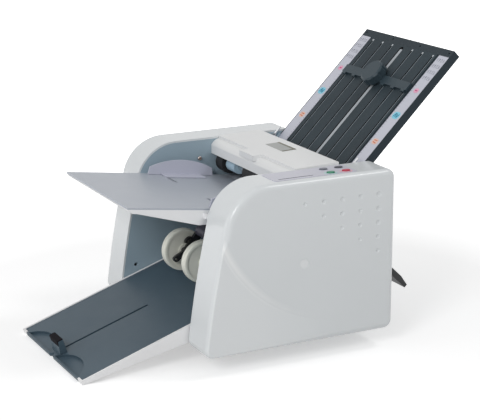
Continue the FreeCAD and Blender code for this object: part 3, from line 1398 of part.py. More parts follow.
def tray_frame():
    inner = TRAY_HALF - TRAY_WALL
    end = TRAY_LENGTH
    side = side_prism([(0.0, 0.0), (end, 0.0), (end, -TRAY_REAR_DEPTH), (0.0, -TRAY_FRONT_DEPTH)],
                      inner, TRAY_HALF)
    start = TRAY_END_BLOCK + TRAY_WALL
    floor = side_prism([(start, tray_depth(start)), (end, -TRAY_REAR_DEPTH),
                        (end, TRAY_FLOOR_T - TRAY_REAR_DEPTH), (start, tray_depth(start) + TRAY_FLOOR_T)],
                       -TRAY_HALF, TRAY_HALF)
    rear = block(-TRAY_HALF, TRAY_HALF, end - TRAY_WALL, end, -TRAY_REAR_DEPTH, -TRAY_REAR_DROP)
    top = -TRAY_BED_DROP - TRAY_BED_T - SEAT
    ledge = block(inner - TRAY_LEDGE, inner + TRAY_WALL / 2, start, TRAY_LENGTH - TRAY_WALL / 2,
                  top - TRAY_LEDGE_T, top)
    corner = block(TRAY_HALF - TRAY_CORNER, TRAY_HALF, 0.0, TRAY_WALL, -TRAY_FRONT_DEPTH, 0.0)
    pin = rod(TRAY_PIN_R, inner, PLATE_OUT, (TRAY_LENGTH - TRAY_PIN_BACK, -TRAY_PIN_DROP))
    pairs = [s for piece in (side, ledge, corner, pin) for s in both_sides(piece)]
    return on_tray(fused([floor, rear] + pairs))


def scoop_tool(top):
    """Half-oval finger scoop behind the front rim."""
    middle = (SCOOP_IN + SCOOP_OUT) / 2
    low = top - SCOOP_DEPTH
    points = [Vector(SCOOP_IN, SCOOP_RIM, low), Vector(middle, SCOOP_DEEP, low),
              Vector(SCOOP_OUT, SCOOP_RIM, low)]
    wire = Part.Wire([Part.Arc(points[0], points[1], points[2]).toShape(),
                      Part.LineSegment(points[2], points[0]).toShape()])
    return Part.Face(wire).extrude(Vector(0, 0, SCOOP_DEPTH + OVER))


def tray_bed():
    half = TRAY_HALF - TRAY_WALL - GAP
    top = -TRAY_BED_DROP
    rear = TRAY_LENGTH - TRAY_WALL - GAP
    sheet = block(-half, half, TRAY_WALL + GAP, rear, top - TRAY_BED_T, top)
    inner = TRAY_HALF - TRAY_CORNER - GAP
    lip = block(-inner, inner, 0.0, TRAY_END_BLOCK, top - TRAY_END_BLOCK_T, top)
    under = -TRAY_REAR_DEPTH
    corners = [Vector(-NOTCH_HALF, -OVER, under), Vector(NOTCH_HALF, -OVER, under),
               Vector(0, NOTCH_DEEP, under)]
    notch = Part.Face(Part.makePolygon(corners + corners[:1])).extrude(Vector(0, 0, OVER - under))
    end = LETTER_STOP_AT + LETTER_STOP_LENGTH + LETTER_STOP_TRAVEL + OVER
    half_slot = LETTER_STOP_SLOT_HALF
    slot = block(-half_slot, half_slot, LETTER_STOP_AT, end, under, OVER)
    return on_tray(cut(fused([sheet, lip]), both_sides(scoop_tool(top)) + [notch, slot]))


def tray_stop():
    low = -TRAY_BED_DROP + GAP
    front = LETTER_STOP_AT
    rear = front + LETTER_STOP_LENGTH
    body = side_prism([(front, low), (front + LETTER_STOP_BATTER, low + LETTER_STOP_HEIGHT),
                       (rear, low + LETTER_STOP_HEIGHT), (rear, low)], -LETTER_STOP_HALF, LETTER_STOP_HALF)
    keel = block(-LETTER_STOP_KEEL_HALF, LETTER_STOP_KEEL_HALF, front + OVER, rear - OVER,
                 -TRAY_BED_DROP - TRAY_BED_T - LETTER_STOP_KEEL, low + GAP)
    return on_tray(fused([body, keel]))


# Control panel
def control_label():
    x0 = CHANNEL_HALF + LABEL_INNER
    sheet = block(x0, x0 + LABEL_WIDTH, LABEL_FRONT_Y, LABEL_REAR_Y, COVER_HEIGHT, COVER_HEIGHT + LABEL_T)
    upright = [e for e in sheet.Edges if e.BoundBox.ZLength > LABEL_T / 2]
    sheet = sheet.makeFillet(LABEL_CORNER_R, upright)
    tools = [oval(x, y, BUTTON_LENGTH + 2 * GAP, BUTTON_WIDTH + 2 * GAP, COVER_HEIGHT - OVER,
                  COVER_HEIGHT + OVER) for x, y in button_places()]
    tools.append(oval(CHANNEL_HALF + SLIT_X, (SLIT_FRONT_Y + SLIT_REAR_Y) / 2, SLIT_REAR_Y - SLIT_FRONT_Y,
                      SLIT_WIDTH, COVER_HEIGHT - OVER, COVER_HEIGHT + OVER))
    return cut(sheet, tools)


def button(index):
    x, y = button_places()[index]
    ceiling = COVER_HEIGHT - COVER_WALL - GAP
    top = COVER_HEIGHT + LABEL_T + BUTTON_RISE
    cap = oval(x, y, BUTTON_LENGTH, BUTTON_WIDTH, ceiling - BUTTON_FLANGE_T, top)
    flange = oval(x, y, BUTTON_LENGTH + 2 * BUTTON_FLANGE, BUTTON_WIDTH + 2 * BUTTON_FLANGE,
                  ceiling - BUTTON_FLANGE_T, ceiling)
    stem = post(BOARD_POST_R / 2, x, y, ceiling - BUTTON_FLANGE_T - BUTTON_STEM, ceiling)
    return fused([cap, flange, stem])


def control_board():
    x0, x1, y0, y1 = board_box()
    top = COVER_HEIGHT - BOARD_DROP - SEAT
    board = block(x0, x1, y0, y1, top - BOARD_T, top)
    stem_end = COVER_HEIGHT - COVER_WALL - GAP - BUTTON_FLANGE_T - BUTTON_STEM
    high = stem_end - BUTTON_TRAVEL - GAP
    half = SWITCH_SIDE / 2
    switches = [block(x - half, x + half, y - half, y + half, top - BOARD_T / 2, high)
                for x, y in button_places()]
    return fused([board] + switches)


# Power inlet and mains switch
def power_inlet():
    x = CHANNEL_HALF + INLET_X
    body = inlet_box(0.0, INLET_DEPTH).common(block(x - INLET_WIDTH, x + INLET_WIDTH, -INLET_DEPTH, 0.0,
                                                    INLET_Z - INLET_HEIGHT, INLET_Z + INLET_HEIGHT))
    wide = INLET_WIDTH / 2 + INLET_FLANGE
    high = INLET_HEIGHT / 2 + INLET_FLANGE
    flange = block(x - wide, x + wide, SEAT, SEAT + INLET_FLANGE_T, INLET_Z - high, INLET_Z + high)
    neck = block(x - INLET_WIDTH / 2, x + INLET_WIDTH / 2, -COVER_WALL, SEAT + INLET_FLANGE_T / 2,
                 INLET_Z - INLET_HEIGHT / 2, INLET_Z + INLET_HEIGHT / 2)
    z = INLET_Z - SOCKET_BELOW
    face = SEAT + INLET_FLANGE_T
    socket = block(x - SOCKET_WIDTH / 2, x + SOCKET_WIDTH / 2, face - SOCKET_DEPTH, face + OVER,
                   z - SOCKET_HEIGHT / 2, z + SOCKET_HEIGHT / 2)
    zr = INLET_Z + ROCKER_ABOVE
    half = ROCKER_HEIGHT / 2 + GAP
    wide_hole = ROCKER_WIDTH / 2 + GAP
    hole = block(x - wide_hole, x + wide_hole, ROCKER_PIVOT_Y - ROCKER_DEPTH - OVER - GAP, face + OVER,
                 zr - half, zr + half)
    bore = rod(ROCKER_PIN_R + RUN, x - wide_hole - ROCKER_PIN, x + wide_hole + ROCKER_PIN,
               (ROCKER_PIVOT_Y, zr))
    whole = fused([body, flange, neck])
    blades = []
    for n in (-1, 0, 1):
        xb = x + n * BLADE_PITCH
        drop = 0.0 if n else BLADE_RISE
        zb = z - drop
        blades.append(block(xb - BLADE_T / 2, xb + BLADE_T / 2, face - SOCKET_DEPTH - OVER,
                            face - BLADE_SHORT, zb - BLADE_HEIGHT / 2, zb + BLADE_HEIGHT / 2))
    return fused([cut(whole, [socket, hole, bore])] + blades)


def rocker_switch():
    """Rocker that lies tipped to one side at rest."""
    x = CHANNEL_HALF + INLET_X
    pivot = (ROCKER_PIVOT_Y, INLET_Z + ROCKER_ABOVE)
    d = ROCKER_DEPTH
    h = ROCKER_HEIGHT / 2
    tip = (d * ROCKER_TIP_SHARES[0], h * ROCKER_TIP_SHARES[1])
    side = (d * ROCKER_SIDE_SHARES[0], h * ROCKER_SIDE_SHARES[1])
    outline = [(-d, -ROCKER_BACK_HALF), (side[0], -side[1]), (tip[0], -tip[1]),
               (d * ROCKER_VALLEY_SHARE, 0.0), tip, side, (-d, ROCKER_BACK_HALF)]
    wide = ROCKER_WIDTH / 2
    body = side_prism(outline, x - wide, x + wide)
    pin = rod(ROCKER_PIN_R, x - wide - ROCKER_PIN, x + wide + ROCKER_PIN, (0.0, 0.0))
    return laid(fused([body, pin]), -ROCKER_ANGLE / 2, pivot[0], pivot[1])


# Everything, in its place
def shaft_end(inner):
    return inner + SHAFT_END


def all_parts():
    flange_end = shaft_end(PLATE_OUT + BUSH_FLANGE_T)
    gear_end = GEAR_OUT_X + SHAFT_END / 2
    return {
        "left_side_cover": left_side_cover(),
        "right_side_cover": right_side_cover(),
        "left_side_plate": left_side_plate(),
        "right_side_plate": right_side_plate(),
        "base_plate": base_plate(),
        "rubber_feet": rubber_feet(),
        "cross_rods": cross_rods(),
        "frame_screws": frame_screws(),
        "hinge_and_latch_pins": hinge_and_latch_pins(),
        "rear_panel": rear_panel(),
        "feed_table_shell": feed_table_shell(),
        "feed_table_bed": feed_table_bed(),
        "left_paper_guide": left_paper_guide(),
        "right_paper_guide": right_paper_guide(),
        "guide_pinion": guide_pinion(),
        "roller_cover": roller_cover(),
        "cover_window": cover_window(),
        "feed_shaft": feed_shaft(),
        "feed_tyres": feed_tyres(),
        "feed_hubs": feed_hubs(),
        "separator_pad": separator_pad(),
        "separator_holder": separator_holder(),
        "fold_roller_1": roller(ROLLER_1, shaft_end(FEED_PULLEY_OUT_X), gear_end),
        "fold_roller_2": roller(ROLLER_2, flange_end, shaft_end(PULLEY_OUT_X)),
        "fold_roller_3": roller(ROLLER_3, flange_end, gear_end),
        "fold_roller_4": roller(ROLLER_4, flange_end, gear_end),
        "roller_gear_1": satellite_gear(ROLLER_1, ROLLER_1_ANGLE),
        "roller_gear_2": drive_gear_and_pulley(),
        "roller_gear_3": satellite_gear(ROLLER_3, ROLLER_3_ANGLE),
        "roller_gear_4": satellite_gear(ROLLER_4, ROLLER_4_ANGLE),
        "shaft_bushes": shaft_bushes(),
        "feed_drive_pulley": small_pulley(ROLLER_1),
        "feed_pulley": small_pulley(FEED),
        "feed_belt": feed_belt(),
        "motor_pulley": motor_pulley(),
        "main_belt": main_belt(),
        "drive_motor": drive_motor(),
        "control_board": control_board(),
        "control_label": control_label(),
        "button_grey": button(0),
        "button_dark": button(1),
        "button_green": button(2),
        "button_red": button(3),
        "power_inlet": power_inlet(),
        "rocker_switch": rocker_switch(),
        "exit_chute": exit_chute(),
        "exit_hood": exit_hood(),
        "upper_plate_frame": upper_plate_frame(),
        "upper_plate_grid": upper_plate_grid(),
        "upper_plate_scales": upper_plate_scales(),
        "upper_stop_bar": upper_stop_bar(),
        "upper_stop_knob": upper_stop_knob(),
        "lower_plate_frame": lower_plate_frame(),
        "lower_stop_bar": lower_stop_bar(),
        "lower_stop_knob": lower_stop_knob(),
        "stacker_arm": stacker_arm(),
        "stacker_discs": stacker_discs(),
        "tray_frame": tray_frame(),
        "tray_bed": tray_bed(),
        "tray_stop": tray_stop(),
    }


parts = all_parts()
box = Part.makeCompound(list(parts.values())).optimalBoundingBox(False)
shift = Vector(-(box.XMin + box.XMax) / 2, -(box.YMin + box.YMax) / 2, -box.ZMin)
os.makedirs("parts", exist_ok=True)
for name, shape in parts.items():
    placed = shape.copy()
    placed.translate(shift)
    placed.exportStep("parts/" + name + ".step")
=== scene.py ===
"""Looks of a paper folding machine, dressed around its construction model."""
import json
import math

import bmesh
import bpy
from mathutils import Matrix, Vector


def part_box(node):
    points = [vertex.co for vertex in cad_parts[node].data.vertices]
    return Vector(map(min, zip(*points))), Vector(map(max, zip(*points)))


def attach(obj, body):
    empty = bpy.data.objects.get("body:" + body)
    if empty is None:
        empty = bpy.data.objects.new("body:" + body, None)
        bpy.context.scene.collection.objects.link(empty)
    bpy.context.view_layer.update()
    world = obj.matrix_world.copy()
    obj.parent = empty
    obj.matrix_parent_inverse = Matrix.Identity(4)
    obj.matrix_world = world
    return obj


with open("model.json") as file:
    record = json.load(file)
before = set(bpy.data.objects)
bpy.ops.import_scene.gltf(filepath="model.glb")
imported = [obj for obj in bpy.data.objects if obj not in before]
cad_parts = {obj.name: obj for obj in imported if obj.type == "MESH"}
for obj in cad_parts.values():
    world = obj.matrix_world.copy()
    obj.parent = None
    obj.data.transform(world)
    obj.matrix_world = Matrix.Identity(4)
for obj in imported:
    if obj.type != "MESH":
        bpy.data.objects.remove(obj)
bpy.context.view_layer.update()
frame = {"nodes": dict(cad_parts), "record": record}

# Camera, metres and degrees
CAMERA_PLACE = (1.96963, -1.002365, 0.79189)
CAMERA_YAW = 27.028
CAMERA_PITCH = 15.418
CAMERA_ROLL = -0.12
CAMERA_LENS = 114.99
CAMERA_SENSOR = 36.0
CAMERA_REACH = (0.05, 30.0)

# Studio
FLOOR_HALF = 4.0
FLOOR_ALBEDO = 0.8
FLOOR_LIFT = 0.46
FLOOR_FADE = (0.5, 1.3, 0.75)
SKY_LEVEL = 0.42
AIM_POINT = (0.0, -0.05, 0.15)
KEY_PLACE = (1.6, -2.0, 1.6)
KEY_SIZE = 1.0
KEY_POWER = 24.0
TOP_PLACE = (0.6, 1.1, 2.1)
TOP_SIZE = 0.6
TOP_POWER = 7.8
FILL_PLACE = (-0.5, -2.4, 0.7)
FILL_SIZE = 1.2
FILL_POWER = 5.0

# Slopes of the flat panels, degrees, and how thick they are
UPPER_SLOPE = 44.8
UPPER_T = 0.013
TRAY_SLOPE = 18.6
TRAY_FRONT_DEPTH = 0.0062

# Scale print on the upper fold plate
PRINT_RAISE = 0.00012
STRIP_WIDTH = 0.025
STRIP_FACE = -0.0003
TICK_PITCH = 0.005
TICK_WIDTH = 0.0004
TICK_SHORT = 0.002
TICK_LONG = 0.0034
TICK_EDGE = 0.001
SCALE_FIRST = -0.072
SCALE_COUNT = 36
TABLE_NUMBERS = ("105", "148", "210", "297")
TABLE_NUMBER_SIZE = 0.0042
TABLE_ACROSS = 0.0052
TABLE_INSET_SHARE = 0.9
TABLE_FIRST = -0.021
TABLE_PITCH = 0.0115
TABLE_ROWS = 4
MARK_LINE = 0.0018
CAP_STEPS = 4

# Fold spots: place down the strip, half width, and the strokes of the picture in half widths
FOLD_MARKS = {
    "magenta": (-0.0795, 0.0056, [[(-0.35, 0.0), (0.35, 0.0)]]),
    "cyan": (-0.1275, 0.0086, [[(-0.6, -0.3), (-0.25, 0.4), (-0.05, -0.3)],
                               [(0.1, 0.35), (0.35, -0.35), (0.65, 0.3)]]),
    "orange": (-0.1775, 0.007, [[(-0.5, 0.3), (0.5, 0.3)], [(-0.5, -0.2), (0.5, -0.35)]]),
}
SPOT_HEIGHT_SHARE = 0.75
SPOT_ROUND_SHARE = 0.7

# Slots of the upper fold plate, with painted shade inside them, a painted highlight on their right edges and
# a painted glint at their top ends
SLOT_PITCH = 0.028
SLOT_COUNT = 3
SLOT_HALF = 0.0015
SLOT_TOP = -0.015
SLOT_FOOT = -0.271
# Painted highlight on each side slot's right edge, and painted glints at the slot tops
SLOT_HIGHLIGHT_WIDTH = 0.0009
SLOT_GLINT_HALF = 0.0013
SLOT_GLINT_LENGTH = 0.0032
# Painted shade: insets and depth of the black sheets that line the slots
SLOT_SHADE_INSETS = (0.00002, 0.00017)
SLOT_SHADE_DEPTH = 0.0029
CENTRE_SLOT_HALF = 0.00475
CENTRE_STRIP_HALF = 0.0034
CENTRE_STRIP_LOW = -0.0021
CENTRE_STRIP_HIGH = -0.0008
CENTRE_STRIP_TOP = -0.019

# Side covers' painted highlight: points are back from the rear face and up from the bottom edge
CREASE_POINTS = ((-0.2899, 0.1879), (-0.2461, 0.1061), (-0.1087, 0.031))
COVER_FACE_X = 0.1795
RIDGE_HALF = 0.0075
RIDGE_IN = 0.004
RIDGE_FADE = (0.06, 0.2, 0.15)
REAR_FADE = (-0.215, -0.115)
PLUG_POINT = (-0.15, 0.12)
PLUG_EDGE = (0.005, 0.0078)

# Letter stop's pad, in the tray's own frame
PAD_ZONE = (0.0112, 0.0205)
PAD_TOP = 0.0195
PAD_T = 0.0016
PAD_DROP = 0.0075
PAD_EDGE = 0.0008
PAD_WIDTH_SHARE = 0.98
PAD_LAP_SHARE = 0.3

# Small parts
LEAST_ROUND_SHARE = 0.2
SOFT_EDGE_SHARE = 0.3
BUTTONS = ("grey", "dark", "green", "red")
BUTTON_HALF = (0.004, 0.006)
RIM_R = 0.00055
RIM_OUT = 0.0011
HALO_OUT = 0.0024
HALO_T = 0.0002
SLIT_X = 0.163
SLIT_FROM_FRONT = (0.009, 0.065)
# Painted shade at the bottom of the slit
SLIT_SHADE_PAD = (0.0014, 0.0012, 0.0002)
SLIT_ROUND_SHARE = 0.9
WINDOW_T = 0.0008
# Painted shade along the window's rear and right edges
WINDOW_SHADE_WIDTH = 0.0042
WINDOW_SHADE_T = 0.0004
SCREW_R = 0.0034
SCREW_RISE = 0.0018
SCREW_SOCKET_R = 0.0016
SCREW_SOCKET_SHARES = ((0.2, 0.4), (1.0, 0.4), (1.0, 1.0))
SCREW_HEAD_SHARES = ((0.7, 1.0), (0.93, 0.6), (1.0, 0.2), (1.0, 0.0), (0.2, 0.0))
PLATE_SCREW = (-0.166, 0.237)
INLET_X = 0.1495
BLADE_ZONE = (-0.014, -0.003)
BLADE_Z = 0.0631
BLADE_PITCH = 0.007
BLADE_DROP = 0.004
BLADE_HALF = (0.00106, 0.00306)
ROCKER_PIVOT_IN = 0.0022
ROCKER_PIVOT_Z = 0.0865
ROCKER_VALLEY = 0.00216
ROCKER_FACE_ANGLE = 76.6
ROCKER_REST_ANGLE = 7.0
ROCKER_MARK_U = 0.0023
ROCKER_MARK_HALF = 0.0011
ROCKER_MARK_LINE = 0.00045

# Finishes: widths and depths in metres, spots per metre, the rest shares
EDGE_SOFTNESS = 0.0005
EDGE_SAMPLES = 4
BROAD_SPOTS = 11.0
SMUDGE_SPOTS = 37.0
WEAR_SPOTS = 160.0
DUST_SPOTS = 55.0
GRAIN_SHARE = 0.35
MIDDLE_LEVEL = 0.67
WEAR_WIDTH = 0.0008
WEAR_GAIN = 9.0
WORN_GAIN = 1.25
WORN_LIFT = 0.02
GLOSS_SPREAD = 0.1
CRINKLE_SHIFT = 0.0012
CRINKLE_GAIN = 2.2
DRAWN_STRETCH = (0.02, 1.0, 1.0)
TURNED_STRETCH = (1.0, 0.03, 0.03)
METAL_PITCH = 2500.0
FOIL_DEPTH = 0.00001


def tint(red, green, blue):
    """Linear colour of a paint given as it looks on a screen, 0 to 255."""
    shares = (red / 255, green / 255, blue / 255)
    return tuple(s / 12.92 if s <= 0.04045 else ((s + 0.055) / 1.055) ** 2.4 for s in shares) + (1.0,)


def put(tree, kind, feeds=None, **settings):
    """Add a node. Its feeds are values or the sockets of other nodes, by input name or number."""
    node = tree.nodes.new("ShaderNode" + kind)
    for key, value in settings.items():
        setattr(node, key, value)
    for key, value in (feeds or {}).items():
        if isinstance(value, bpy.types.NodeSocket):
            tree.links.new(value, node.inputs[key])
        else:
            node.inputs[key].default_value = value
    return node


def maths(tree, operation, a, b=0.0, c=0.0, clamp=False):
    """Result of one step of arithmetic."""
    node = put(tree, "Math", {0: a, 1: b, 2: c}, operation=operation)
    node.use_clamp = clamp
    return node.outputs[0]


def new_group(name, inputs, outputs):
    """Empty node group with named sockets, and the nodes that hold them."""
    tree = bpy.data.node_groups.new(name, "ShaderNodeTree")
    for label, value in inputs.items():
        kind = "NodeSocketColor" if isinstance(value, tuple) else "NodeSocketFloat"
        socket = tree.interface.new_socket(label, in_out="INPUT", socket_type=kind)
        socket.default_value = value
    for label, kind in outputs.items():
        tree.interface.new_socket(label, in_out="OUTPUT", socket_type="NodeSocket" + kind)
    start = tree.nodes.new("NodeGroupInput").outputs
    end = tree.nodes.new("NodeGroupOutput").inputs
    return tree, start, end


# Heights of each kind of surface, from a place on the part and the size of its grain
def spark_grain(tree, place, pitch):
    """Fine soft grain of a moulded plastic."""
    cells = put(tree, "TexVoronoi", {"Vector": place, "Scale": pitch}, feature="SMOOTH_F1")
    cells.inputs["Smoothness"].default_value = 0.6
    specks = put(tree, "TexNoise", {"Vector": place, "Scale": pitch, "Detail": 3.0})
    return maths(tree, "MULTIPLY_ADD", cells.outputs["Distance"], 0.5, specks.outputs["Fac"])


def crinkle_grain(tree, place, pitch):
    """Small islands of a crinkled paint."""
    bend = put(tree, "TexNoise", {"Vector": place, "Scale": pitch, "Detail": 2.0})
    moved = put(tree, "VectorMath", {0: bend.outputs["Color"], "Scale": CRINKLE_SHIFT}, operation="SCALE")
    shifted = put(tree, "VectorMath", {0: place, 1: moved.outputs[0]}, operation="ADD").outputs[0]
    cells = put(tree, "TexVoronoi", {"Vector": shifted, "Scale": pitch}, feature="DISTANCE_TO_EDGE")
    return maths(tree, "MULTIPLY", cells.outputs["Distance"], CRINKLE_GAIN, clamp=True)


def peel_grain(tree, place, pitch):
    """Slight waves of a smooth paint or foil."""
    waves = put(tree, "TexNoise", {"Vector": place, "Scale": pitch, "Detail": 1.0, "Roughness": 0.4})
    return waves.outputs["Fac"]


def rubber_grain(tree, place, pitch):
    """Blotches and pits of matt rubber."""
    blotches = put(tree, "TexNoise", {"Vector": place, "Scale": pitch, "Detail": 6.0, "Roughness": 0.7})
    pits = put(tree, "TexVoronoi", {"Vector": place, "Scale": pitch}, feature="F1")
    return maths(tree, "MULTIPLY", blotches.outputs["Fac"], pits.outputs["Distance"])


def drawn_grain(tree, place, pitch):
    """Fine lines along X, as left by drawing or grinding a bar."""
    squeezed = put(tree, "VectorMath", {0: place, 1: DRAWN_STRETCH}, operation="MULTIPLY")
    lines = put(tree, "TexNoise", {"Vector": squeezed.outputs[0], "Scale": pitch, "Detail": 4.0})
    return lines.outputs["Fac"]


def turned_grain(tree, place, pitch):
    """Fine rings round X, as left by a lathe."""
    squeezed = put(tree, "VectorMath", {0: place, 1: TURNED_STRETCH}, operation="MULTIPLY")
    rings = put(tree, "TexNoise", {"Vector": squeezed.outputs[0], "Scale": pitch, "Detail": 4.0})
    return rings.outputs["Fac"]


def surface_group(name, grain):
    """Broad and fine change of colour and gloss over a surface, with the height of its grain."""
    tree, start, end = new_group(name, {
        "Colour": (0.8, 0.8, 0.8, 1.0), "Spread": 0.04, "Roughness": 0.5, "Roughness Spread": 0.08,
        "Grains per metre": 1500.0}, {"Colour": "Color", "Roughness": "Float", "Height": "Float"})
    place = put(tree, "TexCoord").outputs["Object"]
    broad = put(tree, "TexNoise", {"Vector": place, "Scale": BROAD_SPOTS, "Detail": 4.0, "Roughness": 0.6})
    height = grain(tree, place, start["Grains per metre"])
    mixed = maths(tree, "MULTIPLY_ADD", height, GRAIN_SHARE, broad.outputs["Fac"])
    swing = maths(tree, "SUBTRACT", mixed, MIDDLE_LEVEL)
    tone = maths(tree, "MULTIPLY_ADD", swing, start["Spread"], 1.0)
    shade = put(tree, "VectorMath", {0: start["Colour"], "Scale": tone}, operation="SCALE")
    smudge = put(tree, "TexNoise", {"Vector": place, "Scale": SMUDGE_SPOTS, "Detail": 5.0, "Distortion": 0.4})
    patch = maths(tree, "SUBTRACT", smudge.outputs["Fac"], 0.5)
    rough = maths(tree, "MULTIPLY_ADD", patch, start["Roughness Spread"], start["Roughness"], clamp=True)
    tree.links.new(shade.outputs[0], end["Colour"])
    tree.links.new(rough, end["Roughness"])
    tree.links.new(height, end["Height"])
    return tree


def rubbed_edges_group():
    """Mask of the outer edges that hands and cloths rub bright."""
    tree, start, end = new_group("rubbed_edges", {"Width": WEAR_WIDTH, "Amount": 0.5}, {"Mask": "Float"})
    bent = put(tree, "Bevel", {"Radius": start["Width"]}, samples=EDGE_SAMPLES).outputs[0]
    flat = put(tree, "NewGeometry").outputs["Normal"]
    facing = put(tree, "VectorMath", {0: bent, 1: flat}, operation="DOT_PRODUCT")
    edge = maths(tree, "SUBTRACT", 1.0, facing.outputs["Value"])
    place = put(tree, "TexCoord").outputs["Object"]
    breaks = put(tree, "TexNoise", {"Vector": place, "Scale": WEAR_SPOTS, "Detail": 4.0})
    broken = maths(tree, "MULTIPLY", edge, breaks.outputs["Fac"])
    strong = maths(tree, "MULTIPLY", broken, WEAR_GAIN, clamp=True)
    tree.links.new(maths(tree, "MULTIPLY", strong, start["Amount"]), end["Mask"])
    return tree


def settled_dust_group():
    """Mask of the thin dust that lies on surfaces facing up."""
    tree, start, end = new_group("settled_dust", {"Amount": 0.05}, {"Mask": "Float"})
    up = put(tree, "SeparateXYZ", {0: put(tree, "NewGeometry").outputs["Normal"]}).outputs["Z"]
    place = put(tree, "TexCoord").outputs["Object"]
    drift = put(tree, "TexNoise", {"Vector": place, "Scale": DUST_SPOTS, "Detail": 6.0, "Roughness": 0.7})
    lying = maths(tree, "MULTIPLY", maths(tree, "MAXIMUM", up, 0.0), drift.outputs["Fac"])
    tree.links.new(maths(tree, "MULTIPLY", lying, start["Amount"]), end["Mask"])
    return tree


GRAINS = {kind.__name__: surface_group(kind.__name__, kind)
          for kind in (spark_grain, crinkle_grain, peel_grain, rubber_grain, drawn_grain, turned_grain)}
RUBBED_EDGES = rubbed_edges_group()
SETTLED_DUST = settled_dust_group()
DUST_COLOUR = tint(186, 188, 188)
# Near white of the painted highlight on the side covers
PAINTED_HIGHLIGHT_COLOUR = tint(252, 253, 253)


def circle_through(a, b, c):
    """Centre and radius of the circle through three points of a side view."""
    (ay, az), (by, bz), (cy, cz) = a, b, c
    twice = 2 * (ay * (bz - cz) + by * (cz - az) + cy * (az - bz))
    a2, b2, c2 = ay * ay + az * az, by * by + bz * bz, cy * cy + cz * cz
    y = (a2 * (bz - cz) + b2 * (cz - az) + c2 * (az - bz)) / twice
    z = (a2 * (cy - by) + b2 * (ay - cy) + c2 * (by - ay)) / twice
    return y, z, math.hypot(ay - y, az - z)


def near(tree, value, middle, half):
    """1 where the value is at its middle, falling to 0 at half the width to either side."""
    off = maths(tree, "ABSOLUTE", maths(tree, "SUBTRACT", value, middle))
    return maths(tree, "MULTIPLY_ADD", off, -1.0 / half, 1.0, clamp=True)


def cover_painted_highlight_group():
    """Masks of a painted highlight along the moulded ridge, a painted lighter plane under it and a lighter
    round patch at the plug of a side cover.
    """
    tree, start, end = new_group("cover_painted_highlight", {"Ridge": 0.8, "Plane": 0.2, "Plug": 0.3}, {"Mask": "Float"})
    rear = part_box("right_side_cover")[1].y
    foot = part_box("right_side_cover")[0].z
    y, z, radius = circle_through(*[(rear + py, foot + pz) for py, pz in CREASE_POINTS])
    place = put(tree, "SeparateXYZ", {0: put(tree, "TexCoord").outputs["Object"]}).outputs
    outer = maths(tree, "GREATER_THAN", maths(tree, "ABSOLUTE", place["X"]), COVER_FACE_X)
    from_centre = put(tree, "CombineXYZ", {0: 0.0, 1: maths(tree, "SUBTRACT", place["Y"], y),
                                           2: maths(tree, "SUBTRACT", place["Z"], z)})
    reach = put(tree, "VectorMath", {0: from_centre.outputs[0]}, operation="LENGTH").outputs["Value"]
    low, high, faint = RIDGE_FADE
    climb = put(tree, "MapRange", {0: place["Z"], 1: low, 2: high, 3: faint, 4: 1.0}).outputs[0]
    front, back = (rear + step for step in REAR_FADE)
    fade = put(tree, "MapRange", {0: place["Y"], 1: front, 2: back, 3: 1.0, 4: 0.0}).outputs[0]
    ridge = maths(tree, "MULTIPLY", near(tree, reach, radius - RIDGE_IN, RIDGE_HALF), climb)
    ridge = maths(tree, "MULTIPLY", ridge, fade)
    plane = maths(tree, "MULTIPLY", maths(tree, "GREATER_THAN", reach, radius), fade)
    from_plug = put(tree, "CombineXYZ", {0: 0.0, 1: maths(tree, "SUBTRACT", place["Y"], rear + PLUG_POINT[0]),
                                         2: maths(tree, "SUBTRACT", place["Z"], foot + PLUG_POINT[1])})
    off_plug = put(tree, "VectorMath", {0: from_plug.outputs[0]}, operation="LENGTH").outputs["Value"]
    plug = put(tree, "MapRange", {0: off_plug, 1: PLUG_EDGE[0], 2: PLUG_EDGE[1], 3: 1.0, 4: 0.0})
    total = maths(tree, "MULTIPLY", ridge, start["Ridge"])
    total = maths(tree, "MULTIPLY_ADD", plane, start["Plane"], total)
    total = maths(tree, "MULTIPLY_ADD", plug.outputs[0], start["Plug"], total)
    tree.links.new(maths(tree, "MULTIPLY", total, outer, clamp=True), end["Mask"])
    return tree


def place_group(tree, group, feeds):
    """Outputs of a group that is placed in a material with its own values."""
    node = tree.nodes.new("ShaderNodeGroup")
    node.node_tree = group
    for key, value in feeds.items():
        node.inputs[key].default_value = value
    return node.outputs


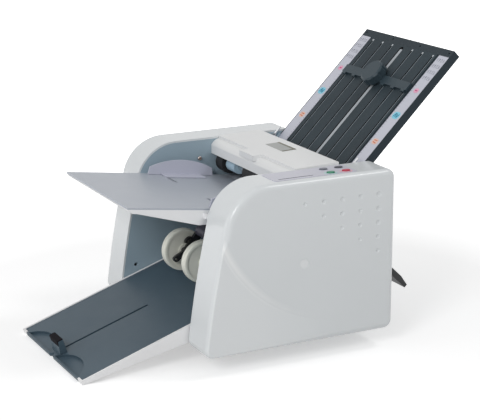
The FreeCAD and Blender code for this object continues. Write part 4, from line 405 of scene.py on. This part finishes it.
def finish(name, colour, roughness, grain="spark_grain", pitch=1500.0, depth=0.00004, spread=0.05,
           wear=0.35, dust=0.05, painted_highlight=None, **shader):
    """A material: grain, rubbed edges and dust over one colour, a painted highlight where a mask is given,
    and the shader's own plain values.
    """
    material = bpy.data.materials.new(name)
    material.use_nodes = True
    tree = material.node_tree
    principled = tree.nodes["Principled BSDF"]
    surface = place_group(tree, GRAINS[grain], {
        "Colour": colour, "Spread": spread, "Roughness": roughness, "Roughness Spread": GLOSS_SPREAD,
        "Grains per metre": pitch})
    edges = place_group(tree, RUBBED_EDGES, {"Amount": wear})
    dusty = place_group(tree, SETTLED_DUST, {"Amount": dust})
    lighter = tuple(min(1.0, c * WORN_GAIN + WORN_LIFT) for c in colour[:3]) + (1.0,)
    base = surface["Colour"]
    # Painted highlight: the mask mixes the colour towards near white
    if painted_highlight:
        highlight_outputs = place_group(tree, painted_highlight, {})
        base = put(tree, "Mix", {"Factor": highlight_outputs["Mask"], 6: base, 7: PAINTED_HIGHLIGHT_COLOUR},
                   data_type="RGBA").outputs[2]
    rubbed = put(tree, "Mix", {"Factor": edges["Mask"], 6: base, 7: lighter}, data_type="RGBA")
    dusted = put(tree, "Mix", {"Factor": dusty["Mask"], 6: rubbed.outputs[2], 7: DUST_COLOUR},
                 data_type="RGBA")
    soft = put(tree, "Bevel", {"Radius": EDGE_SOFTNESS}, samples=EDGE_SAMPLES)
    bump = put(tree, "Bump", {"Height": surface["Height"], "Normal": soft.outputs[0], "Distance": depth})
    tree.links.new(dusted.outputs[2], principled.inputs["Base Color"])
    tree.links.new(surface["Roughness"], principled.inputs["Roughness"])
    tree.links.new(bump.outputs[0], principled.inputs["Normal"])
    for key, value in shader.items():
        principled.inputs[key.replace("_", " ").title().replace("Ior", "IOR")].default_value = value
    material.diffuse_color = colour
    return material


def metal(name, colour, roughness, grain="drawn_grain"):
    """Bare metal, with the lines of its making and little wear or dust."""
    return finish(name, colour, roughness, grain, METAL_PITCH, depth=FOIL_DEPTH, wear=0.2, dust=0.02,
                  metallic=1.0)


SLATE = tint(47, 59, 66)
FRAME_SLATE = tint(41, 52, 59)
FINISHES = {
    # The side covers carry a painted highlight along their ridge and a painted lighter plane under it
    "cover_plastic": finish("cover_plastic", tint(224, 228, 230), 0.4, spread=0.03, dust=0.03,
                            painted_highlight=cover_painted_highlight_group(), coat_weight=0.5, coat_roughness=0.16),
    "plate_paint": finish("plate_paint", tint(160, 180, 192), 0.38, "peel_grain", 900.0, dust=0.04),
    "steel": metal("steel", tint(196, 198, 200), 0.3),
    "chrome": metal("chrome", tint(222, 224, 226), 0.16, "turned_grain"),
    "foot_rubber": finish("foot_rubber", tint(40, 40, 42), 0.75, "rubber_grain", 900.0, dust=0.1),
    "shell_plastic": finish("shell_plastic", tint(238, 239, 241), 0.42, spread=0.03),
    "bed_paint": finish("bed_paint", tint(176, 182, 192), 0.36, "peel_grain", 1000.0),
    "guide_plastic": finish("guide_plastic", tint(196, 198, 212), 0.34),
    "gear_plastic": finish("gear_plastic", tint(232, 229, 218), 0.45),
    "hood_plastic": finish("hood_plastic", tint(238, 239, 239), 0.38, spread=0.03, dust=0.03),
    "window_foil": finish("window_foil", tint(146, 149, 146), 0.3, "peel_grain", 400.0, depth=FOIL_DEPTH),
    "tyre_rubber": finish("tyre_rubber", tint(28, 29, 32), 0.7, "rubber_grain", 1800.0, dust=0.015),
    "hub_plastic": finish("hub_plastic", tint(178, 204, 220), 0.3),
    "roller_rubber": finish("roller_rubber", tint(46, 48, 52), 0.6, "turned_grain", 1600.0, depth=0.00003),
    "bush_brass": metal("bush_brass", tint(206, 168, 98), 0.32, "turned_grain"),
    "belt_rubber": finish("belt_rubber", tint(30, 30, 32), 0.65, "rubber_grain", 1600.0),
    "board_green": finish("board_green", tint(40, 112, 76), 0.35, "crinkle_grain", 260.0, spread=0.2),
    "label_foil": finish("label_foil", tint(204, 204, 216), 0.36, "peel_grain", 1500.0, depth=FOIL_DEPTH),
    "key_grey": finish("key_grey", tint(104, 108, 120), 0.4),
    "key_dark": finish("key_dark", tint(70, 72, 84), 0.4),
    "key_green": finish("key_green", tint(24, 138, 102), 0.34),
    "key_red": finish("key_red", tint(202, 60, 84), 0.34),
    "black_plastic": finish("black_plastic", tint(32, 34, 37), 0.45, dust=0.015),
    "chute_paint": finish("chute_paint", tint(110, 122, 134), 0.4, "peel_grain", 900.0),
    "tongue_plastic": finish("tongue_plastic", tint(66, 65, 80), 0.45),
    "fold_paint": finish("fold_paint", FRAME_SLATE, 0.55, "crinkle_grain", 700.0, depth=0.00008, spread=0.3,
                         dust=0.012, wear=0.2, specular_ior_level=0.2),
    "grid_paint": finish("grid_paint", SLATE, 0.58, "crinkle_grain", 380.0, depth=0.0001, spread=0.8,
                         dust=0.012, wear=0.2, specular_ior_level=0.2),
    "scale_foil": finish("scale_foil", tint(206, 208, 220), 0.42, "peel_grain", 1500.0, depth=0.00002),
    "stop_paint": finish("stop_paint", tint(52, 66, 74), 0.42, dust=0.012, wear=0.2, specular_ior_level=0.25),
    "disc_plastic": finish("disc_plastic", tint(243, 243, 231), 0.42, "turned_grain", 900.0),
    "tray_white": finish("tray_white", tint(248, 248, 249), 0.42, spread=0.03),
    "tray_slate": finish("tray_slate", tint(70, 88, 100), 0.46, pitch=1200.0, dust=0.02,
                         specular_ior_level=0.3),
}
INK_COLOURS = {
    "ink_grey": tint(128, 132, 144), "ink_white": tint(232, 232, 232),
    "ink_magenta": tint(206, 70, 130), "mark_magenta": tint(238, 176, 202),
    "ink_cyan": tint(24, 134, 168), "mark_cyan": tint(142, 216, 238),
    "ink_orange": tint(218, 128, 96), "mark_orange": tint(240, 204, 190),
    "halo_green": tint(186, 224, 220), "halo_red": tint(240, 188, 200),
    # The slit and slot colours here are painted shade, a painted highlight and a painted glint
    "slit_shade_dark": tint(52, 54, 74), "slot_shade_black": tint(14, 18, 22), "slot_highlight_grey": tint(146, 156, 164),
    "slot_glint_pale": tint(206, 210, 214),
}
INKS = {name: finish(name, colour, 0.5, "peel_grain", 2000.0, depth=FOIL_DEPTH, wear=0.1)
        for name, colour in INK_COLOURS.items()}
PAD_BLACK = finish("pad_black", tint(24, 22, 26), 0.8, "rubber_grain", 1400.0, dust=0.0, wear=0.1,
                   specular_ior_level=0.1)
# Painted shade of the window's recess walls
WINDOW_SHADE_OLIVE = finish("window_shade_olive", tint(92, 92, 70), 0.45)
SCREW_BRONZE = metal("screw_bronze", tint(172, 160, 154), 0.4, "turned_grain")
STRIP_METAL = finish("strip_metal", tint(176, 182, 188), 0.4, "drawn_grain", METAL_PITCH, depth=FOIL_DEPTH)
BLADE_METAL = metal("blade_metal", tint(214, 210, 198), 0.22)


def dress_cad_nodes():
    """Gives each solid the finish that the record names for it."""
    for part in frame["record"]["subparts"]:
        for holder in frame["nodes"][part["node"]].material_slots:
            holder.material = FINISHES[part["material_slot"]]


class Slope:
    """A sloping panel's own frame: x across the machine, u up along the panel, w out of it."""

    def __init__(self, y, z, degrees):
        self.y, self.z = y, z
        self.cos, self.sin = math.cos(math.radians(degrees)), math.sin(math.radians(degrees))

    def at(self, x, u, w):
        """Where a point of the panel's frame is on the machine."""
        return Vector((x, self.y + u * self.cos - w * self.sin, self.z + u * self.sin + w * self.cos))

    def matrix(self, x, u, w):
        """Lays a flat thing, drawn in x and y, on the panel."""
        place = self.at(x, u, w)
        return Matrix(((1, 0, 0, place.x), (0, self.cos, -self.sin, place.y),
                       (0, self.sin, self.cos, place.z), (0, 0, 0, 1)))


def upper_plate():
    """Upper fold plate's face, from its top edge."""
    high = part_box("upper_plate_frame")[1]
    return Slope(high.y - UPPER_T * math.sin(math.radians(UPPER_SLOPE)), high.z, UPPER_SLOPE)


def tray():
    """Exit tray's face, from its front edge."""
    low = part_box("tray_frame")[0]
    return Slope(low.y, low.z + TRAY_FRONT_DEPTH * math.cos(math.radians(TRAY_SLOPE)), TRAY_SLOPE)


def level(z):
    """Level face at a height, over the middle of the machine."""
    return Slope(0.0, z, 0.0)


def piece(name, bm, material, body):
    """Makes the finished piece, which rides on a body."""
    mesh = bpy.data.meshes.new(name)
    bmesh.ops.recalc_face_normals(bm, faces=bm.faces)
    bm.to_mesh(mesh)
    bm.free()
    mesh.materials.append(material)
    made = bpy.data.objects.new(name, mesh)
    bpy.context.scene.collection.objects.link(made)
    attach(made, body)


def rounded(x0, x1, u0, u1, radius, inset=0.0, steps=5):
    """Outline of a rectangle with round corners, drawn in from its edges by the inset."""
    x0, x1, u0, u1 = x0 + inset, x1 - inset, u0 + inset, u1 - inset
    r = max(radius - inset, radius * LEAST_ROUND_SHARE)
    points = []
    centres = [(x1 - r, u1 - r), (x0 + r, u1 - r), (x0 + r, u0 + r), (x1 - r, u0 + r)]
    for quarter, (cx, cu) in enumerate(centres):
        for n in range(steps + 1):
            angle = math.radians(90 * quarter + 90 * n / steps)
            points.append((cx + r * math.cos(angle), cu + r * math.sin(angle)))
    return points


def add_stack(bm, rings):
    """Solid through a stack of outlines that have the same number of points."""
    rows = [[bm.verts.new(point) for point in ring] for ring in rings]
    count = len(rows[0])
    for low, high in zip(rows, rows[1:]):
        for n in range(count):
            bm.faces.new((low[n], low[(n + 1) % count], high[(n + 1) % count], high[n]))
    bm.faces.new(rows[0])
    bm.faces.new(rows[-1])


def add_pad(bm, slope, x0, x1, u0, u1, low, high, radius, edge):
    """Flat pad with round corners and a soft top edge."""
    bend = edge * SOFT_EDGE_SHARE
    levels = [(0.0, low), (0.0, high - edge), (bend, high - bend), (edge, high)]
    add_stack(bm, [[slope.at(x, u, w) for x, u in rounded(x0, x1, u0, u1, radius, inset)]
                   for inset, w in levels])


def flat_pad(bm, slope, x0, x1, u0, u1, low, high):
    """Thin sheet of print, foil or metal."""
    thickness = high - low
    radius = min(x1 - x0, u1 - u0) / 4
    add_pad(bm, slope, x0, x1, u0, u1, low, high, radius, min(radius, thickness) / 2)


def add_ring(bm, slope, outer, inner, low, high):
    """Flat ring between two outlines that have the same number of points."""
    loops = [[bm.verts.new(slope.at(x, u, w)) for x, u in path]
             for path, w in ((outer, low), (outer, high), (inner, high), (inner, low))]
    count = len(outer)
    for here, there in zip(loops, loops[1:] + loops[:1]):
        for n in range(count):
            bm.faces.new((here[n], here[(n + 1) % count], there[(n + 1) % count], there[n]))


def add_stroke(bm, slope, ax, au, bx, bu, low, width):
    """Straight inked line with round ends."""
    length = math.hypot(bx - ax, bu - au)
    tx, tu = (bx - ax) / length, (bu - au) / length
    outline = []
    for (cx, cu), start in (((bx, bu), -90), ((ax, au), 90)):
        for n in range(CAP_STEPS + 1):
            angle = math.radians(start + 180 / CAP_STEPS * n)
            along, across = math.cos(angle) * width / 2, math.sin(angle) * width / 2
            outline.append((cx + tx * along - tu * across, cu + tu * along + tx * across))
    levels = (low - PRINT_RAISE / 2, low + PRINT_RAISE)
    add_stack(bm, [[slope.at(x, u, w) for x, u in outline] for w in levels])


def add_rim(bm, slope, path, radius, height, sides=8):
    """Round bead along a closed path in the panel."""
    count = len(path)
    rows = []
    for n in range(count):
        ahead, behind = path[(n + 1) % count], path[n - 1]
        dx, du = ahead[0] - behind[0], ahead[1] - behind[1]
        length = math.hypot(dx, du)
        side = (du / length, -dx / length)
        ring = []
        for s in range(sides):
            angle = 2 * math.pi * s / sides
            reach, rise = radius * math.cos(angle), radius * math.sin(angle)
            ring.append(bm.verts.new(slope.at(path[n][0] + side[0] * reach, path[n][1] + side[1] * reach,
                                              height + rise)))
        rows.append(ring)
    for n in range(count):
        here, there = rows[n], rows[(n + 1) % count]
        for s in range(sides):
            bm.faces.new((here[s], here[(s + 1) % sides], there[(s + 1) % sides], there[s]))


def add_lathe(bm, profile, place, axis, sides=24):
    """Turned shape. Its profile is (radius, reach along the axis), from one end's middle to the other's."""
    turn = Vector((0, 0, 1)).rotation_difference(Vector(axis)).to_matrix()
    rings = []
    for radius, reach in profile:
        ring = []
        for n in range(sides):
            angle = 2 * math.pi * n / sides
            around = Vector((radius * math.cos(angle), radius * math.sin(angle), reach))
            ring.append(Vector(place) + turn @ around)
        rings.append(ring)
    add_stack(bm, rings)


def add_words(bm, text, size, matrix):
    """Flat figures, standing a hair proud of what they are printed on."""
    curve = bpy.data.curves.new("figures", "FONT")
    curve.body = text
    curve.size = size
    curve.align_x = "CENTER"
    curve.align_y = "CENTER"
    curve.extrude = PRINT_RAISE / 2
    curve.resolution_u = 3
    holder = bpy.data.objects.new("figures", curve)
    mesh = bpy.data.meshes.new_from_object(holder)
    mesh.transform(matrix)
    bm.from_mesh(mesh)
    bpy.data.objects.remove(holder)
    bpy.data.curves.remove(curve)
    bpy.data.meshes.remove(mesh)


# Upper fold plate
def strips():
    """The two printed strips, as (inner edge, outer edge) across the machine."""
    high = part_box("upper_plate_scales")[1].x
    return [(-high + STRIP_WIDTH, -high), (high - STRIP_WIDTH, high)]


def scale_print():
    """Fine ticks along each strip's inner edge, and a small table of paper sizes at its top."""
    slope = upper_plate()
    high = STRIP_FACE + PRINT_RAISE
    bm = bmesh.new()
    for inner, outer in strips():
        side = 1 if outer > inner else -1
        for n in range(SCALE_COUNT):
            u = SCALE_FIRST - n * TICK_PITCH
            start = inner + side * TICK_EDGE
            end = start + side * (TICK_SHORT if n % 2 else TICK_LONG)
            flat_pad(bm, slope, min(start, end), max(start, end), u, u + TICK_WIDTH, STRIP_FACE, high)
        for column, number in enumerate(TABLE_NUMBERS):
            x = min(inner, outer) + TABLE_ACROSS * (column + TABLE_INSET_SHARE)
            for row in range(TABLE_ROWS):
                flat = slope.matrix(x, TABLE_FIRST - row * TABLE_PITCH, high - PRINT_RAISE / 2)
                add_words(bm, number, TABLE_NUMBER_SIZE, flat @ Matrix.Rotation(math.radians(90), 4, "Z"))
    piece("upper_scale_print", bm, INKS["ink_grey"], "upper_plate")


def fold_marks(name, u, half, zigzags):
    """One coloured spot on each strip, with a small picture of the fold in a darker ink."""
    slope = upper_plate()
    top = STRIP_FACE + PRINT_RAISE
    spots, pictures = bmesh.new(), bmesh.new()
    for inner, outer in strips():
        x = (inner + outer) / 2
        tall = half * SPOT_HEIGHT_SHARE
        add_pad(spots, slope, x - half, x + half, u - tall, u + tall, STRIP_FACE, top,
                half * SPOT_ROUND_SHARE, PRINT_RAISE / 4)
        for zigzag in zigzags:
            for (ax, au), (bx, bu) in zip(zigzag, zigzag[1:]):
                add_stroke(pictures, slope, x + ax * half, u + au * half, x + bx * half, u + bu * half,
                           top, MARK_LINE)
    piece("fold_spots_" + name, spots, INKS["mark_" + name], "upper_plate")
    piece("fold_pictures_" + name, pictures, INKS["ink_" + name], "upper_plate")


def slot_painted_shade():
    """Painted shade: black sheets inside the slots, where the slot walls are in shade."""
    slope = upper_plate()
    bm = bmesh.new()
    for n in range(-SLOT_COUNT, SLOT_COUNT + 1):
        x = n * SLOT_PITCH
        half = SLOT_HALF if n else CENTRE_SLOT_HALF
        outer, inner = (rounded(x - half, x + half, SLOT_FOOT, SLOT_TOP, half, inset)
                        for inset in SLOT_SHADE_INSETS)
        add_ring(bm, slope, outer, inner, -SLOT_SHADE_DEPTH, -SLOT_SHADE_INSETS[0])
    piece("slot_painted_shade", bm, INKS["slot_shade_black"], "upper_plate")


def slot_painted_highlights():
    """Painted highlight on the right edge of each side slot, and a painted glint at its top end."""
    slope = upper_plate()
    highlight_strips, spots = bmesh.new(), bmesh.new()
    for n in range(-SLOT_COUNT, SLOT_COUNT + 1):
        x = n * SLOT_PITCH
        if n:
            flat_pad(highlight_strips, slope, x + SLOT_HALF, x + SLOT_HALF + SLOT_HIGHLIGHT_WIDTH, SLOT_FOOT, SLOT_TOP,
                     0.0, PRINT_RAISE)
            flat_pad(spots, slope, x - SLOT_GLINT_HALF, x + SLOT_GLINT_HALF, SLOT_TOP - SLOT_GLINT_LENGTH,
                     SLOT_TOP, -PRINT_RAISE, PRINT_RAISE)
    piece("slot_painted_highlights", highlight_strips, INKS["slot_highlight_grey"], "upper_plate")
    piece("slot_end_painted_glints", spots, INKS["slot_glint_pale"], "upper_plate")


def centre_strip():
    """Pale strip that lies at the bottom of the wide middle slot."""
    bm = bmesh.new()
    flat_pad(bm, upper_plate(), -CENTRE_STRIP_HALF, CENTRE_STRIP_HALF, SLOT_FOOT, CENTRE_STRIP_TOP,
             CENTRE_STRIP_LOW, CENTRE_STRIP_HIGH)
    piece("centre_slot_strip", bm, STRIP_METAL, "upper_plate")


# Letter stop's black pad
def letter_stop_pad():
    """Rubber face over the top of the stop."""
    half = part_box("tray_stop")[1].x * PAD_WIDTH_SHARE
    front, rear = PAD_ZONE
    bm = bmesh.new()
    add_pad(bm, tray(), -half, half, front, rear + PAD_T * PAD_LAP_SHARE, PAD_TOP - PAD_DROP, PAD_TOP + PAD_T,
            PAD_EDGE * 2, PAD_EDGE)
    piece("letter_stop_pad", bm, PAD_BLACK, "letter_stop")


# Control panel and roller cover
def button_outline(colour, out):
    """Outline of a button, widened all round."""
    low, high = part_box("button_" + colour)
    middle = (low + high) / 2
    half_x, half_y = (half + out for half in BUTTON_HALF)
    return rounded(middle.x - half_x, middle.x + half_x, middle.y - half_y, middle.y + half_y, half_x)


def button_rims():
    """Raised bead round each button."""
    slope = level(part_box("control_label")[1].z)
    bm = bmesh.new()
    for colour in BUTTONS:
        add_rim(bm, slope, button_outline(colour, RIM_OUT), RIM_R, 0.0)
    piece("button_rims", bm, FINISHES["label_foil"], "machine")


def button_halos():
    """Coloured rings printed round the green and the red button."""
    slope = level(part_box("control_label")[1].z)
    for colour in ("green", "red"):
        bm = bmesh.new()
        outer, inner = (button_outline(colour, out) for out in (RIM_OUT + HALO_OUT, RIM_OUT))
        add_ring(bm, slope, outer, inner, -HALO_T / 4, HALO_T)
        piece("button_halo_" + colour, bm, INKS["halo_" + colour], "machine")


def slit_painted_shade():
    """Painted shade: dark strip at the bottom of the slit beside the buttons."""
    half, deep, high = SLIT_SHADE_PAD
    bm = bmesh.new()
    slope = level(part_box("control_label")[1].z)
    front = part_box("control_label")[0].y
    start, end = (front + reach for reach in SLIT_FROM_FRONT)
    add_pad(bm, slope, SLIT_X - half, SLIT_X + half, start, end, -deep, -high, half * SLIT_ROUND_SHARE,
            PRINT_RAISE)
    piece("label_slit_painted_shade", bm, INKS["slit_shade_dark"], "machine")


def window_painted_shade():
    """Painted shade: dark olive strip along the rear and right of the window, for its recess walls in shade.
    """
    low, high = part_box("cover_window")
    slope = Slope(high.y, high.z, math.degrees(math.atan2(high.z - low.z - WINDOW_T, high.y - low.y)))
    length = high.y - low.y
    bm = bmesh.new()
    add_pad(bm, slope, low.x, high.x, -WINDOW_SHADE_WIDTH, 0.0, -WINDOW_SHADE_T, WINDOW_SHADE_T / 4, WINDOW_SHADE_T, WINDOW_SHADE_T / 4)
    add_pad(bm, slope, high.x - WINDOW_SHADE_WIDTH, high.x, -length, -WINDOW_SHADE_WIDTH, -WINDOW_SHADE_T, WINDOW_SHADE_T / 4, WINDOW_SHADE_T,
            WINDOW_SHADE_T / 4)
    piece("window_painted_shade", bm, WINDOW_SHADE_OLIVE, "cover")


# Screws
def add_screw(bm, place, axis):
    """Domed screw head with a round socket."""
    profile = [(SCREW_SOCKET_R * across, SCREW_RISE * up) for across, up in SCREW_SOCKET_SHARES]
    profile += [(SCREW_R * across, SCREW_RISE * up) for across, up in SCREW_HEAD_SHARES]
    add_lathe(bm, profile, place, axis)


def plate_screws():
    """The screw that shows on the left side plate over the feed table."""
    rear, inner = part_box("rear_panel")[1].y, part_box("left_side_plate")[1].x
    bm = bmesh.new()
    add_screw(bm, (inner, rear + PLATE_SCREW[0], PLATE_SCREW[1]), (1, 0, 0))
    piece("plate_screws", bm, SCREW_BRONZE, "machine")


# Mains inlet
def inlet_blades():
    """Bright metal of the three blades in the inlet."""
    slope = level(0.0)
    half_x, half_z = BLADE_HALF
    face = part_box("power_inlet")[1].y
    start, end = (face + reach for reach in BLADE_ZONE)
    bm = bmesh.new()
    for n in (-1, 0, 1):
        x = INLET_X + n * BLADE_PITCH
        z = BLADE_Z - (0.0 if n else BLADE_DROP)
        add_pad(bm, slope, x - half_x, x + half_x, start, end, z - half_z, z + half_z,
                half_x / 3, half_x / 4)
    piece("inlet_blades", bm, BLADE_METAL, "machine")


def rocker_marks():
    """A bar on the upper half of the rocker and a ring on its lower half."""
    tilt = math.radians(-ROCKER_REST_ANGLE)
    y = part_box("power_inlet")[1].y - ROCKER_PIVOT_IN + ROCKER_VALLEY * math.cos(tilt)
    z = ROCKER_PIVOT_Z + ROCKER_VALLEY * math.sin(tilt)
    bm = bmesh.new()
    upper = Slope(y, z, ROCKER_FACE_ANGLE - ROCKER_REST_ANGLE)
    flat_pad(bm, upper, INLET_X - ROCKER_MARK_LINE, INLET_X + ROCKER_MARK_LINE,
             ROCKER_MARK_U - ROCKER_MARK_HALF, ROCKER_MARK_U + ROCKER_MARK_HALF, -PRINT_RAISE, PRINT_RAISE)
    lower = Slope(y, z, -ROCKER_FACE_ANGLE - ROCKER_REST_ANGLE)
    halves = (ROCKER_MARK_HALF, ROCKER_MARK_HALF - ROCKER_MARK_LINE)
    outer, inner = (rounded(INLET_X - half, INLET_X + half, ROCKER_MARK_U - half, ROCKER_MARK_U + half, half)
                    for half in halves)
    add_ring(bm, lower, outer, inner, -PRINT_RAISE, PRINT_RAISE)
    piece("rocker_marks", bm, INKS["ink_white"], "rocker")


# Studio
def studio():
    """White room with three round softboxes."""
    scene = bpy.context.scene
    scene.view_settings.view_transform = "Standard"
    world = bpy.data.worlds.new("studio")
    scene.world = world
    world.use_nodes = True
    tree = world.node_tree
    sky = tree.nodes["Background"]
    sky.inputs["Color"].default_value = (1.0, 1.0, 1.0, 1.0)
    sky.inputs["Strength"].default_value = SKY_LEVEL
    white = put(tree, "Background", {"Color": (1.0, 1.0, 1.0, 1.0), "Strength": 1.0})
    seen = put(tree, "MixShader", {0: seen_by_camera(tree), 1: sky.outputs[0], 2: white.outputs[0]})
    tree.links.new(seen.outputs[0], tree.nodes["World Output"].inputs[0])
    softbox("key", KEY_PLACE, KEY_SIZE, KEY_POWER)
    softbox("top", TOP_PLACE, TOP_SIZE, TOP_POWER)
    softbox("fill", FILL_PLACE, FILL_SIZE, FILL_POWER)


def seen_by_camera(tree):
    """1 on rays that end in the picture: straight, mirrored or through glass."""
    path = put(tree, "LightPath").outputs
    mirrored = maths(tree, "MAXIMUM", path["Is Camera Ray"], path["Is Glossy Ray"])
    return maths(tree, "MAXIMUM", mirrored, path["Is Transmission Ray"])


def softbox(name, place, size, power):
    """Round lamp that points at the machine."""
    lamp = bpy.data.lights.new(name, "AREA")
    lamp.shape = "DISK"
    lamp.size = size
    lamp.energy = power
    holder = bpy.data.objects.new(name, lamp)
    holder.location = place
    aim = Vector(AIM_POINT) - Vector(place)
    holder.rotation_euler = aim.to_track_quat("-Z", "Y").to_euler()
    bpy.context.scene.collection.objects.link(holder)


def floor():
    """Pale floor that keeps the shadow and fades to the white of the room."""
    bm = bmesh.new()
    corners = [(-FLOOR_HALF, -FLOOR_HALF), (FLOOR_HALF, -FLOOR_HALF), (FLOOR_HALF, FLOOR_HALF),
               (-FLOOR_HALF, FLOOR_HALF)]
    bm.faces.new([bm.verts.new((x, y, 0.0)) for x, y in corners])
    mesh = bpy.data.meshes.new("floor")
    bm.to_mesh(mesh)
    bm.free()
    material = bpy.data.materials.new("floor_paper")
    material.use_nodes = True
    tree = material.node_tree
    tree.nodes.remove(tree.nodes["Principled BSDF"])
    paper = put(tree, "BsdfDiffuse", {"Color": (FLOOR_ALBEDO,) * 3 + (1.0,)})
    start, full, extra = FLOOR_FADE
    away = put(tree, "VectorMath", {0: put(tree, "TexCoord").outputs["Object"]}, operation="LENGTH")
    share = put(tree, "MapRange", {0: away.outputs["Value"], 1: start, 2: full, 3: 0.0, 4: extra})
    level_here = maths(tree, "ADD", share.outputs[0], FLOOR_LIFT)
    lift = maths(tree, "MULTIPLY", seen_by_camera(tree), level_here)
    glow = put(tree, "Emission", {"Strength": lift})
    both = put(tree, "AddShader", {0: paper.outputs[0], 1: glow.outputs[0]})
    tree.links.new(both.outputs[0], tree.nodes["Material Output"].inputs[0])
    mesh.materials.append(material)
    made = bpy.data.objects.new("floor", mesh)
    bpy.context.scene.collection.objects.link(made)


def camera():
    """Long lens at the photograph's place."""
    yaw, pitch, roll = (math.radians(a) for a in (CAMERA_YAW, CAMERA_PITCH, CAMERA_ROLL))
    look = Vector((-math.cos(yaw) * math.cos(pitch), math.sin(yaw) * math.cos(pitch), -math.sin(pitch)))
    right = look.cross(Vector((0, 0, 1))).normalized()
    up = right.cross(look)
    tipped_right = right * math.cos(roll) + up * math.sin(roll)
    tipped_up = up * math.cos(roll) - right * math.sin(roll)
    lens = bpy.data.cameras.new("photo_view")
    lens.lens = CAMERA_LENS
    lens.sensor_width = CAMERA_SENSOR
    lens.clip_start, lens.clip_end = CAMERA_REACH
    made = bpy.data.objects.new("photo_view", lens)
    turn = Matrix((tipped_right, tipped_up, -look)).transposed().to_4x4()
    made.matrix_world = Matrix.Translation(CAMERA_PLACE) @ turn
    bpy.context.scene.collection.objects.link(made)
    bpy.context.scene.camera = made


studio()
camera()
floor()
dress_cad_nodes()
scale_print()
for ink, mark in FOLD_MARKS.items():
    fold_marks(ink, *mark)
slot_painted_shade()
slot_painted_highlights()
centre_strip()
letter_stop_pad()
button_rims()
button_halos()
slit_painted_shade()
window_painted_shade()
plate_screws()
inlet_blades()
rocker_marks()
